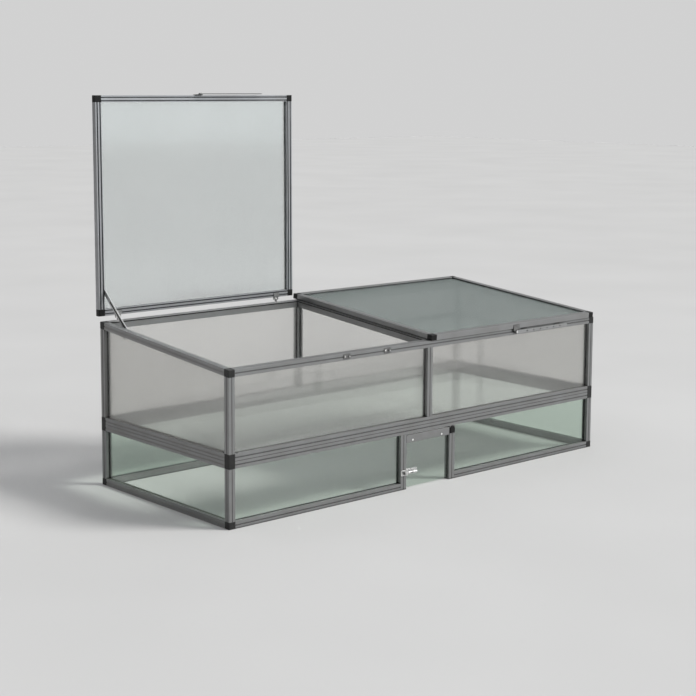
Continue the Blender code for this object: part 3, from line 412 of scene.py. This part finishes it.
def rib_set(ends_x, ends_y, corner, low, high):
    """Low moulded ribs on a corner piece's two outer faces."""
    parts = []
    x_face = ends_x[0] if "left" in corner else ends_x[1]
    y_face = ends_y[0] if "front" in corner else ends_y[1]
    for share in RIB_PLACES:
        x = ends_x[0] + share * (ends_x[1] - ends_x[0])
        y = ends_y[0] + share * (ends_y[1] - ends_y[0])
        for place, half in (((x, y_face), (RIB_HALF, RIB_PROUD)), ((x_face, y), (RIB_PROUD, RIB_HALF))):
            first = (place[0] - half[0], place[1] - half[1], low + RIB_SHORT)
            last = (place[0] + half[0], place[1] + half[1], high - RIB_SHORT)
            parts.append(soft_block(first, last, SOFT_EDGE, 1))
    return parts


def corner_piece(corner, low, high, ribs_low, ribs_high):
    """Rounded block around a corner of the frame with its ribs."""
    ends_x, ends_y = corner_box(corner)
    block = soft_block((ends_x[0], ends_y[0], low), (ends_x[1], ends_y[1], high), CAP_ROUND)
    return joined(block, *rib_set(ends_x, ends_y, corner, ribs_low, ribs_high))


def lean(bm):
    """Shears a level shape at the front top's height to the frame's rake."""
    shear = Matrix.Identity(4)
    shear[2][1] = RAKE
    bmesh.ops.transform(bm, matrix=Matrix.Translation((0, 0, -RAKE * FRONT)) @ shear, verts=bm.verts)
    return bm


def dress_posts():
    """Corner posts: the bare profile, a foot below and a cap above."""
    for corner in ("front_left", "front_right", "back_left", "back_right"):
        node = f"base_post_{corner}"
        shaft = sliced(copy_of(node), (0, 0, PROFILE + OVERLAP), (0, 0, -1))
        add_piece(f"{node}_profile", to_mesh(shaft, node), ALU_Z, "frame", (node,))
        foot = corner_piece(corner, 0, PROFILE + 2 * OVERLAP, 0, PROFILE)
        add_piece(f"foot_{corner}", to_mesh(foot, "foot"), BLACK, "frame", (node,))
        node = f"upper_post_{corner}"
        y = BACK if "back" in corner else FRONT
        cut_at = (0, y, top_at(y) - PROFILE - OVERLAP)
        shaft = sliced(copy_of(node), cut_at, (0, -RAKE, 1))
        add_piece(f"{node}_profile", to_mesh(shaft, node), ALU_Z, "frame", (node,))
        low = FRONT_TOP - PROFILE
        cap = lean(corner_piece(corner, low - 2 * OVERLAP, FRONT_TOP, low, FRONT_TOP))
        add_piece(f"top_cap_{corner}", to_mesh(cap, "cap"), BLACK, "frame", (node,))


def dress_lids():
    """Side rails of the lids: the bare profile, its two black caps and the strut's rivet."""
    for side in ("left", "right"):
        matrix = lid_matrix(side)
        body = f"lid_{side}"
        for rail in ("left", "right"):
            node = f"lid_{side}_rail_{rail}"
            shaft = copy_of(node)
            shaft.transform(matrix.inverted())
            front = min(vertex.co.y for vertex in shaft.verts)
            back = max(vertex.co.y for vertex in shaft.verts)
            end_spots = [vertex.co.copy() for vertex in shaft.verts if vertex.co.y < front + LID_END]
            xs = [spot.x for spot in end_spots]
            zs = [spot.z for spot in end_spots]
            sliced(shaft, (0, front + PROFILE + OVERLAP, 0), (0, -1, 0))
            sliced(shaft, (0, back - PROFILE - OVERLAP, 0), (0, 1, 0))
            if rail == side:
                inward = 1 if rail == "left" else -1
                edge = (min(xs) + CAP_PROUD) if rail == "left" else (max(xs) - CAP_PROUD)
                shaft, rivet = parted(shaft, (edge + inward * (PROFILE + OVERLAP), 0, 0), (inward, 0, 0))
                rivet.transform(matrix)
                add_piece(f"lid_{side}_strut_rivet", to_mesh(rivet, "rivet"), BRIGHT, body,
                          (node,))
            shaft.transform(matrix)
            add_piece(f"{node}_profile", to_mesh(shaft, node), LID_ALU[side], body, (node,))
            reach = PROFILE + 2 * OVERLAP
            for end, low, high in (("front", front, front + reach), ("back", back - reach, back)):
                cap = soft_block((min(xs), low, min(zs)), (max(xs), high, max(zs)), CAP_ROUND)
                cap.transform(matrix)
                add_piece(f"lid_{side}_cap_{end}_{rail}", to_mesh(cap, "cap"), DEEP_BLACK, body,
                          (node,))


def dress_rails():
    """Plated fittings of the frame, each taken off the rail that it is fixed to."""
    plan = (
        ("top_rail_back", ALU_X, "hinge_straps", (0, BACK + OVERLAP, 0), (0, 1, 0)),
        ("top_rail_front", ALU_X, "stay_pegs", (0, FRONT - OVERLAP, 0), (0, -1, 0)),
        ("top_rail_left", ALU_Y, "strut_stud_left", (LEFT + PROFILE + OVERLAP, 0, 0), (1, 0, 0)),
        ("top_rail_right", ALU_Y, "strut_stud_right", (RIGHT - PROFILE - OVERLAP, 0, 0), (-1, 0, 0)),
    )
    for node, material, name, point, away in plan:
        rail, fitting = parted(copy_of(node), point, away)
        add_piece(f"{node}_profile", to_mesh(rail, node), material, "frame", (node,))
        finish = ZINC
        if name == "stay_pegs":
            finish = DULL_ZINC
            fitting, pegs = parted(fitting, (0, FRONT - PLATE - OVERLAP, 0), (0, -1, 0))
            add_piece("peg_pins", to_mesh(pegs, "pins"), BRIGHT, "frame", (node,))
        add_piece(name, to_mesh(fitting, name), finish, "frame", (node,))

def add_rivet(side, plate, node):
    """Takes the stay's rivet head off its plate, with its rim rounded. Gives the plate that is left."""
    joint = JOINTS[f"{side}_stay"]
    outward = -Vector(joint["axis"])
    plate, head = parted(plate, joint["pos_m"], outward)
    top = max(vertex.co.dot(outward) for vertex in head.verts)
    rim = [edge for edge in head.edges
           if all(vertex.co.dot(outward) > top - 0.0001 for vertex in edge.verts)
           and edge.calc_face_angle(0) > 1]
    bmesh.ops.bevel(head, geom=rim, offset=0.0012, segments=3, profile=0.5, affect="EDGES")
    add_piece(f"lid_{side}_stay_rivet", to_mesh(head, "rivet"), BRIGHT, f"lid_{side}",
              (node,))
    return plate


def dress_lid_rails():
    """Front and back rails of the lids, with the hinge leaves and the stay's plate taken off them."""
    for side in ("left", "right"):
        matrix = lid_matrix(side)
        body = f"lid_{side}"
        back_node = f"lid_{side}_rail_back"
        back_rail = copy_of(back_node)
        back_rail.transform(matrix.inverted())
        back_rail, cheeks = parted(back_rail, (0, OVERLAP - AXIS_CLEAR, 0), (0, 1, 0))
        back_rail, leaves = parted(back_rail, (0, 0, -AXIS_UP - OVERLAP), (0, 0, -1))
        leaves = joined(cheeks, leaves)
        front_node = f"lid_{side}_rail_front"
        front_rail = copy_of(front_node)
        front_rail.transform(matrix.inverted())
        face = min(vertex.co.y for vertex in front_rail.verts if vertex.co.z > 0.012)
        front_rail, plate = parted(front_rail, (0, face - OVERLAP, 0), (0, -1, 0))
        for bm in (leaves, back_rail, plate, front_rail):
            bm.transform(matrix)
        add_piece(f"lid_{side}_hinge_leaves", to_mesh(leaves, "hinge_leaves"), ZINC, body,
                  (back_node,))
        add_piece(f"lid_{side}_back_profile", to_mesh(back_rail, "back_profile"), LID_ALU_X[side], body,
                  (back_node,))
        plate = add_rivet(side, plate, front_node)
        add_piece(f"lid_{side}_stay_plate", to_mesh(plate, "stay_plate"), DULL_ZINC, body,
                  (front_node,))
        add_piece(f"lid_{side}_front_profile", to_mesh(front_rail, "front_profile"), LID_ALU_X[side], body,
                  (front_node,))


def shade_strut_slots():
    """Black sheet filling the slot of each strut, at the middle of the bar's thickness: painted shade for the
    open slot.
    """
    for side in ("left", "right"):
        node = f"lid_{side}_strut"
        low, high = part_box(node)
        middle = (low.x + high.x) / 2
        pivot = Vector(JOINTS[f"{side}_strut"]["pos_m"])
        spots = [Vector((0, vertex.co.y - pivot.y, vertex.co.z - pivot.z))
                 for vertex in frame["nodes"][node].data.vertices]
        ahead = max(spots, key=lambda spot: spot.length).normalized()
        reaches = [spot.dot(ahead) for spot in spots if abs(spot.cross(ahead).x) < 0.0002]
        tip = max(reaches)
        inside = [reach for reach in reaches if PIVOT_REACH < reach < tip - TIP_WALL]
        start, end, half = min(inside), max(inside), SLOT_HALF + OVERLAP / 2
        outline = []
        for centre, first in ((end - SLOT_HALF, -0.5), (start + SLOT_HALF, 0.5)):
            for step in range(13):
                turn = math.pi * (first + step / 12)
                outline.append((centre + half * math.cos(turn), half * math.sin(turn)))
        bm = bmesh.new()
        rings = []
        for x in (middle - SLOT_SHADE_THICK / 2, middle + SLOT_SHADE_THICK / 2):
            rings.append([bm.verts.new((x, pivot.y + along * ahead.y - aside * ahead.z,
                                        pivot.z + along * ahead.z + aside * ahead.y))
                          for along, aside in outline])
        for k in range(len(outline)):
            after = (k + 1) % len(outline)
            bm.faces.new((rings[0][k], rings[0][after], rings[1][after], rings[1][k]))
        bm.faces.new(rings[0])
        bm.faces.new(rings[1])
        add_piece(f"lid_{side}_strut_slide", to_mesh(bm, "slide"), DEEP_BLACK, f"strut_{side}")


def lay_seals_and_gap_shade():
    """Black seal strip along the upper inner edge of the top rails and of the centre bar, which is also
    painted shade for the dark gap under the lids.
    """
    low, high = FRONT_TOP - SEAL_DOWN - SEAL_HEIGHT, FRONT_TOP - SEAL_DOWN
    ahead, behind = FRONT + PROFILE, BACK - PROFILE
    runs = []
    for start, end in ((LEFT + PROFILE, BAR_LOW.x), (BAR_HIGH.x, RIGHT - PROFILE)):
        runs.append(((start, ahead - OVERLAP, low), (end, ahead + SEAL_PROUD, high)))
        runs.append(((start, behind - SEAL_PROUD, low), (end, behind + OVERLAP, high)))
    for x, inward in ((LEFT + PROFILE, 1), (BAR_LOW.x, -1), (BAR_HIGH.x, 1), (RIGHT - PROFILE, -1)):
        near, far = sorted((x - OVERLAP * inward, x + SEAL_PROUD * inward))
        runs.append(((near, ahead + SEAL_PROUD, low), (far, behind - SEAL_PROUD, high)))
    strips = [soft_block(first, last, SOFT_EDGE, 1) for first, last in runs]
    add_piece("seal_strips", to_mesh(lean(joined(*strips)), "seal"), DEEP_BLACK, "frame")


def dress_jamb():
    """Right door jamb with the black rounded cover on its head."""
    node = "door_jamb_right"
    jamb = sliced(copy_of(node), (0, FRONT - OVERLAP, 0), (0, -1, 0))
    add_piece("door_jamb_right_profile", to_mesh(jamb, node), ALU_Z, "frame", (node,))
    low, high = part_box(node)
    middle, half = (low.x + high.x) / 2, (high.x - low.x) / 2 - 0.001
    top = high.z - 0.0006
    bm = bmesh.new()
    rings = []
    for depth, shrink in ((0.0, 1.0), (0.45, 0.99), (0.75, 0.93), (0.93, 0.80), (1.0, 0.55)):
        y = FRONT - OVERLAP - depth * (FRONT - low.y - OVERLAP)
        loop = []
        for step in range(33):
            turn = math.pi * step / 32
            loop.append((half * math.cos(turn), half * math.sin(turn)))
        foot = half - COVER_DROP
        loop = [(half, foot)] + loop + [(-half, foot)]
        centre = (foot + half) / 2
        rings.append([bm.verts.new((middle + x * shrink, y, top - half + centre + (z - centre) * shrink))
                      for x, z in loop])
    for near, far in zip(rings, rings[1:]):
        for k in range(len(near)):
            bm.faces.new((near[k], near[(k + 1) % len(near)], far[(k + 1) % len(near)], far[k]))
    bm.faces.new(rings[0])
    bm.faces.new(rings[-1])
    add_piece("jamb_cover", to_mesh(bm, "cover", 50), DEEP_BLACK, "frame", (node,))


# Fluted sheets

def group_socket(tree, name, kind):
    """New input of a geometry tree, by the identifier that a modifier sets it with."""
    return tree.interface.new_socket(name, in_out="INPUT", socket_type=kind).identifier


def realized(tree, geometry, material, result):
    """Ends a geometry tree: its instances made real, with their material."""
    real = put(tree, "GeometryNodeRealizeInstances", None, {"Geometry": geometry}).outputs[0]
    done = put(tree, "GeometryNodeSetMaterial", None, {"Geometry": real, "Material": material}).outputs[0]
    tree.interface.new_socket(result, in_out="OUTPUT", socket_type="NodeSocketGeometry")
    tree.links.new(done, tree.nodes.new("NodeGroupOutput").inputs[0])


def flute_tree():
    """Adds the ribs between a twin-wall sheet's two skins, one per flute, from its lower to upper edge."""
    tree = bpy.data.node_groups.new("flutes", "GeometryNodeTree")
    group_socket(tree, "Skins", "NodeSocketGeometry")
    names = {}
    for name, kind in (("Count", "NodeSocketInt"), ("Start", "NodeSocketVector"), ("End", "NodeSocketVector"),
                       ("Height at start", "NodeSocketFloat"), ("Height at end", "NodeSocketFloat"),
                       ("Thickness", "NodeSocketFloat"), ("Depth", "NodeSocketFloat"),
                       ("Material", "NodeSocketMaterial")):
        names[name] = group_socket(tree, name, kind)
    given = tree.nodes.new("NodeGroupInput").outputs
    line = put(tree, "GeometryNodeMeshLine", {"mode": "END_POINTS"},
               {"Count": given["Count"], "Start Location": given["Start"], "Offset": given["End"]})
    index = put(tree, "GeometryNodeInputIndex").outputs[0]
    last = put(tree, "ShaderNodeMath", {"operation": "SUBTRACT"}, {0: given["Count"], 1: 1.0}).outputs[0]
    share = put(tree, "ShaderNodeMath", {"operation": "DIVIDE"}, {0: index, 1: last}).outputs[0]
    height = put(tree, "ShaderNodeMapRange", None, {
        "Value": share, "To Min": given["Height at start"],
        "To Max": given["Height at end"]}).outputs["Result"]
    size = put(tree, "ShaderNodeCombineXYZ", None,
               {"X": given["Thickness"], "Y": given["Depth"], "Z": height}).outputs[0]
    rib = put(tree, "GeometryNodeMeshCube", None, {"Size": (1, 1, 1)}).outputs["Mesh"]
    rib = put(tree, "GeometryNodeTransform", None, {"Geometry": rib, "Translation": (0, 0, 0.5)}).outputs[0]
    ribs = put(tree, "GeometryNodeInstanceOnPoints", None,
               {"Points": line.outputs[0], "Instance": rib, "Scale": size}).outputs[0]
    both = tree.nodes.new("GeometryNodeJoinGeometry")
    tree.links.new(ribs, both.inputs[0])
    tree.links.new(given["Skins"], both.inputs[0])
    realized(tree, both.outputs[0], given["Material"], "Sheet")
    return tree, names


def grown(mesh, tree, names, values):
    """A mesh after a geometry tree has run on it, as a plain mesh."""
    obj = bpy.data.objects.new("growing", mesh)
    bpy.context.scene.collection.objects.link(obj)
    modifier = obj.modifiers.new("grow", "NODES")
    modifier.node_group = tree
    for name, value in values.items():
        modifier[names[name]] = value
    obj.update_tag()
    bpy.context.view_layer.update()
    graph = bpy.context.evaluated_depsgraph_get()
    result = bpy.data.meshes.new_from_object(obj.evaluated_get(graph))
    bpy.data.objects.remove(obj)
    return result


def fluted(node, matrix, body, material, tree, names):
    """Twin-wall sheet in a pane's place. In matrix's frame x runs across the flutes, y through, z along."""
    solid = copy_of(node)
    solid.transform(matrix.inverted())
    ys = [vertex.co.y for vertex in solid.verts]
    near, far = min(ys), max(ys)
    middle = (near + far) / 2
    skins = []
    for face, back in ((near, near + SKIN), (far - SKIN, far)):
        skin = solid.copy()
        for vertex in skin.verts:
            vertex.co.y = face if vertex.co.y < middle else back
        skins.append(skin)
    start = min(vertex.co.x for vertex in solid.verts)
    end = max(vertex.co.x for vertex in solid.verts)
    tops, bottoms = {}, {}
    for place in (start, end):
        inner = sorted({round(v.co.x, 5) for v in solid.verts}, key=lambda x: abs(x - place))[1]
        heights = [v.co.z for v in solid.verts if abs(v.co.x - inner) < 0.0001]
        bottoms[place], tops[place] = min(heights), max(heights)
    solid.free()
    values = {
        "Count": int((end - start - 2 * FLUTE_INSET) / FLUTE),
        "Start": (start + FLUTE_INSET, middle, bottoms[start]),
        "End": (end - FLUTE_INSET, middle, bottoms[end]),
        "Height at start": tops[start] - bottoms[start], "Height at end": tops[end] - bottoms[end],
        "Thickness": RIB, "Depth": far - near - 2 * SKIN + 2 * OVERLAP, "Material": material,
    }
    base = joined(*skins)
    mesh = bpy.data.meshes.new("skins")
    base.to_mesh(mesh)
    base.free()
    mesh = grown(mesh, tree, names, values)
    mesh.transform(matrix)
    add_piece(f"{node}_fluted", mesh, material, body, (node,))


def glaze():
    """Twin-wall sheets in place of the upper tier's and the lids' panes."""
    tree, names = flute_tree()
    quarter = Matrix.Rotation(math.pi / 2, 4, "Z")
    upright = Matrix.Identity(4)
    for wall in ("front", "back"):
        for half in ("left", "right"):
            fluted(f"upper_pane_{wall}_{half}", upright, "frame", MILKY, tree, names)
    for wall in ("left", "right"):
        fluted(f"upper_pane_{wall}", quarter, "frame", MILKY, tree, names)
    lie_down = Matrix.Rotation(-math.pi / 2, 4, "X")
    for side in ("left", "right"):
        fluted(f"lid_{side}_pane", lid_matrix(side) @ lie_down, f"lid_{side}", LID_MILKY, tree, names)


# Small fixings

def head_mesh(radius, height):
    """Domed rivet or screw head on a short shank, facing +z."""
    bm = bmesh.new()
    rings = ((radius, -0.0006), (radius, height * 0.30), (radius * 0.86, height * 0.68),
             (radius * 0.55, height * 0.92))
    sides = 16
    loops = []
    for ring_radius, level in rings:
        loops.append([bm.verts.new((ring_radius * math.cos(2 * math.pi * k / sides),
                                    ring_radius * math.sin(2 * math.pi * k / sides), level))
                      for k in range(sides)])
    for lower, upper in zip(loops, loops[1:]):
        for k in range(sides):
            bm.faces.new((lower[k], lower[(k + 1) % sides], upper[(k + 1) % sides], upper[k]))
    bm.faces.new(list(reversed(loops[0])))
    tip = bm.verts.new((0, 0, height))
    for k in range(sides):
        bm.faces.new((loops[-1][k], loops[-1][(k + 1) % sides], tip))
    return to_mesh(bm, "head", 50)


def scatter_tree():
    """Sets a head on every point, turned to one direction."""
    tree = bpy.data.node_groups.new("fixings", "GeometryNodeTree")
    group_socket(tree, "Places", "NodeSocketGeometry")
    names = {}
    for name, kind in (("Head", "NodeSocketObject"), ("Turn", "NodeSocketRotation"),
                       ("Material", "NodeSocketMaterial")):
        names[name] = group_socket(tree, name, kind)
    given = tree.nodes.new("NodeGroupInput").outputs
    head = put(tree, "GeometryNodeObjectInfo", {"transform_space": "ORIGINAL"}, {"Object": given["Head"]})
    heads = put(tree, "GeometryNodeInstanceOnPoints", None, {
        "Points": given["Places"], "Instance": head.outputs["Geometry"],
        "Rotation": given["Turn"]}).outputs[0]
    realized(tree, heads, given["Material"], "Heads")
    return tree, names


FACINGS = {"up": (0, 0, 0), "down": (math.pi, 0, 0), "front": (math.pi / 2, 0, 0)}


def scatter(name, points, facing, head, material, body, tree, names):
    """One piece made of a head at every point, all turned to one side."""
    mesh = bpy.data.meshes.new("points")
    mesh.from_pydata([tuple(point) for point in points], [], [])
    mesh = grown(mesh, tree, names, {"Head": head, "Turn": FACINGS[facing], "Material": material})
    mesh.shade_smooth()
    mesh.set_sharp_from_angle(angle=math.radians(50))
    add_piece(name, mesh, material, body)


def peg_centres():
    """Places in x of the stays' pegs, and their height."""
    pins = sorted((vertex.co for vertex in bpy.data.objects["peg_pins"].data.vertices), key=lambda pin: pin.x)
    centres = []
    for pin in pins:
        if not centres or pin.x - centres[-1] > 0.01:
            centres.append(pin.x + PEG_RADIUS)
    return centres, (min(pin.z for pin in pins) + max(pin.z for pin in pins)) / 2


def fix():
    """Clips at the corners, and the rivets and screws of the door, its bolt and the pegs."""
    tree, names = scatter_tree()
    heads = {}
    for name, (radius, height) in HEADS.items():
        heads[name] = bpy.data.objects.new(f"head_{name}", head_mesh(radius, height))
        bpy.context.scene.collection.objects.link(heads[name])
    plan = []
    for x, y, inward, along in ((LEFT, FRONT, 1, 1), (RIGHT, FRONT, -1, 1), (LEFT, BACK, 1, -1),
                                (RIGHT, BACK, -1, -1)):
        plan.append((x + inward * CLIP_ASIDE, y + along * CLIP_DEEP))
        plan.append((x + inward * CLIP_DEEP, y + along * CLIP_ASIDE))
    below_top = [(x, y, top_at(y) - PROFILE) for x, y in plan]
    above_mid = [(x, y, MID_TOP) for x, y in plan]
    below_mid = [(x, y, BASE_TOP) for x, y in plan]
    scatter("clips_under_rails", below_top + below_mid, "down", heads["button"], BLACK, "frame",
            tree, names)
    scatter("clips_on_rails", above_mid, "up", heads["button"], BLACK, "frame", tree, names)
    low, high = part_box("door_hinge_strip")
    rivets = [(low.x + share * (high.x - low.x), low.y, low.z + STRIP_RIVET_UP)
              for share in STRIP_RIVET_PLACES]
    scatter("strip_rivets", rivets, "front", heads["dome"], RIVET, "door", tree, names)
    centres, height = peg_centres()
    points = [(x - PEG_SCREW_ASIDE, FRONT - PLATE, height) for x in centres]
    scatter("peg_plate_screws", points, "front", heads["button"], BRIGHT, "frame", tree,
            names)
    low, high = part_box("bolt_body")
    points = [(low.x + share * (high.x - low.x), high.y - PLATE, (low.z + high.z) / 2 + side * 0.009)
              for share in (0.07, 0.5, 0.93) for side in (-1, 1)]
    scatter("bolt_plate_rivets", points, "front", heads["small"], BRIGHT, "door", tree, names)
    low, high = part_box("bolt_keep")
    points = [(low.x + 0.004, high.y - PLATE, (low.z + high.z) / 2 + side * 0.0085) for side in (-1, 1)]
    scatter("keep_rivets", points, "front", heads["small"], BRIGHT, "frame", tree, names)
    for head in heads.values():
        bpy.data.objects.remove(head)


# Finishes of the frame's own nodes

def finish_of(name):
    """Material of a CAD node, by what it is and which way it runs."""
    side = "left" if "left" in name else "right"
    if name.startswith(("bottom_rail", "mid_rail")):
        return ALU_Y if name.endswith(("rail_left", "rail_right")) else ALU_X
    if name.endswith("_strut"):
        return STRUT
    if name.endswith("_stay"):
        return STAY[side]
    if name.startswith("bolt"):
        return BRIGHT
    if name.startswith("mid_cap"):
        return BLACK
    if name.startswith("base_pane") or name == "door_flap":
        return CLEAR
    return {"centre_bar": ALU_Y, "door_hinge_strip": ALU_X}.get(name, ALU_Z)


def finish_frame():
    """Sets every CAD node's material in its own slots."""
    for name, obj in frame["nodes"].items():
        for slot in obj.material_slots:
            slot.material = finish_of(name)


# Camera and studio

def set_camera():
    """Camera with the photo's place, turn and lens."""
    data = bpy.data.cameras.new("camera")
    camera = bpy.data.objects.new("camera", data)
    bpy.context.scene.collection.objects.link(camera)
    yaw, pitch, roll = (math.radians(turn) for turn in (CAMERA_YAW, CAMERA_PITCH, CAMERA_ROLL))
    ahead = Vector((math.sin(yaw) * math.cos(pitch), math.cos(yaw) * math.cos(pitch), math.sin(pitch)))
    right = Vector((math.cos(yaw), -math.sin(yaw), 0))
    up = right.cross(ahead)
    side = right * math.cos(roll) + up * math.sin(roll)
    top = up * math.cos(roll) - right * math.sin(roll)
    matrix = Matrix((side, top, -ahead)).transposed().to_4x4()
    matrix.translation = CAMERA_PLACE
    camera.matrix_world = matrix
    data.sensor_width = SENSOR_MM
    data.lens = LENS_PIXELS / IMAGE_PIXELS * SENSOR_MM
    data.shift_y = CAMERA_SHIFT
    bpy.context.scene.camera = camera


def add_light(name, place, target, size, power, tone):
    """Soft rectangular light at a place, turned to its target."""
    data = bpy.data.lights.new(name, "AREA")
    data.shape = "RECTANGLE"
    data.size, data.size_y = size
    data.energy = power
    data.color = tone
    light = bpy.data.objects.new(name, data)
    bpy.context.scene.collection.objects.link(light)
    light.location = place
    light.rotation_euler = (Vector(target) - Vector(place)).to_track_quat("-Z", "Y").to_euler()


def set_sky():
    """Pale backdrop for the camera, and a sky that lights: bright above, darker low at the back left."""
    world = bpy.data.worlds.new("studio")
    bpy.context.scene.world = world
    world.use_nodes = True
    tree = world.node_tree
    tree.nodes.clear()
    seen = put(tree, "ShaderNodeBackground", None, {"Color": grey(0.64), "Strength": 1.0}).outputs[0]
    direction = put(tree, "ShaderNodeTexCoord").outputs["Generated"]
    level = put(tree, "ShaderNodeSeparateXYZ", None, {"Vector": direction}).outputs["Z"]
    high_share = put(tree, "ShaderNodeMapRange", {"interpolation_type": "SMOOTHSTEP"}, {
        "Value": level, "From Min": 0.05, "From Max": 0.75}).outputs["Result"]
    front_share = put(tree, "ShaderNodeVectorMath", {"operation": "DOT_PRODUCT"},
                      {0: direction, 1: (0.6, -0.8, 0.0)}).outputs["Value"]
    front_share = spread(tree, front_share, 0, 1, -0.9, 0.9)
    low_sky = mix(tree, front_share, (0.145, 0.145, 0.137, 1), (0.38, 0.415, 0.40, 1))
    sky = mix(tree, high_share, low_sky, (0.66, 0.665, 0.68, 1))
    lit = put(tree, "ShaderNodeBackground", None, {"Color": sky, "Strength": 1.0}).outputs[0]
    path = put(tree, "ShaderNodeLightPath").outputs
    ray = put(tree, "ShaderNodeMath", {"operation": "MAXIMUM"},
              {0: path["Is Camera Ray"], 1: path["Is Transmission Ray"]}).outputs[0]
    both = put(tree, "ShaderNodeMixShader", None, {0: ray, 1: lit, 2: seen}).outputs[0]
    tree.links.new(both, put(tree, "ShaderNodeOutputWorld").inputs["Surface"])


def set_floor():
    """Pale plain floor."""
    bm = bmesh.new()
    bmesh.ops.create_grid(bm, x_segments=1, y_segments=1, size=30)
    floor = bpy.data.objects.new("floor", to_mesh(bm, "floor"))
    bpy.context.scene.collection.objects.link(floor)
    material, tree, shader, _ = new_material("studio_floor")
    cloud = noise(tree, places(tree), 0.8, 2.0)
    tree.links.new(mix(tree, spread(tree, cloud, 0, 1), grey(0.53), grey(0.56)), shader.inputs["Base Color"])
    shader.inputs["Roughness"].default_value = 0.9
    floor.data.materials.append(material)


def set_studio():
    """Sky, floor, a soft sun from high on the front right and a wide fill from the front."""
    scene = bpy.context.scene
    set_sky()
    set_floor()
    sun = bpy.data.lights.new("sun", "SUN")
    sun.energy, sun.angle, sun.color = 2.6, math.radians(18), (1.0, 0.985, 0.96)
    key = bpy.data.objects.new("sun", sun)
    scene.collection.objects.link(key)
    key.rotation_euler = Vector((-3.6, 3.8, -5.2)).to_track_quat("-Z", "Y").to_euler()
    add_light("front_fill", (4.0, -6.5, 3.0), (0, 0, 0.5), (6, 4), 90, (0.94, 0.98, 1.0))
    scene.view_settings.view_transform = "Standard"
    scene.render.resolution_x = IMAGE_PIXELS
    scene.render.resolution_y = IMAGE_PIXELS
    scene.cycles.transparent_max_bounces = 64
    scene.cycles.max_bounces = 12


finish_frame()
dress_posts()
dress_lids()
dress_rails()
dress_lid_rails()
shade_strut_slots()
lay_seals_and_gap_shade()
dress_jamb()
glaze()
fix()
set_camera()
set_studio()
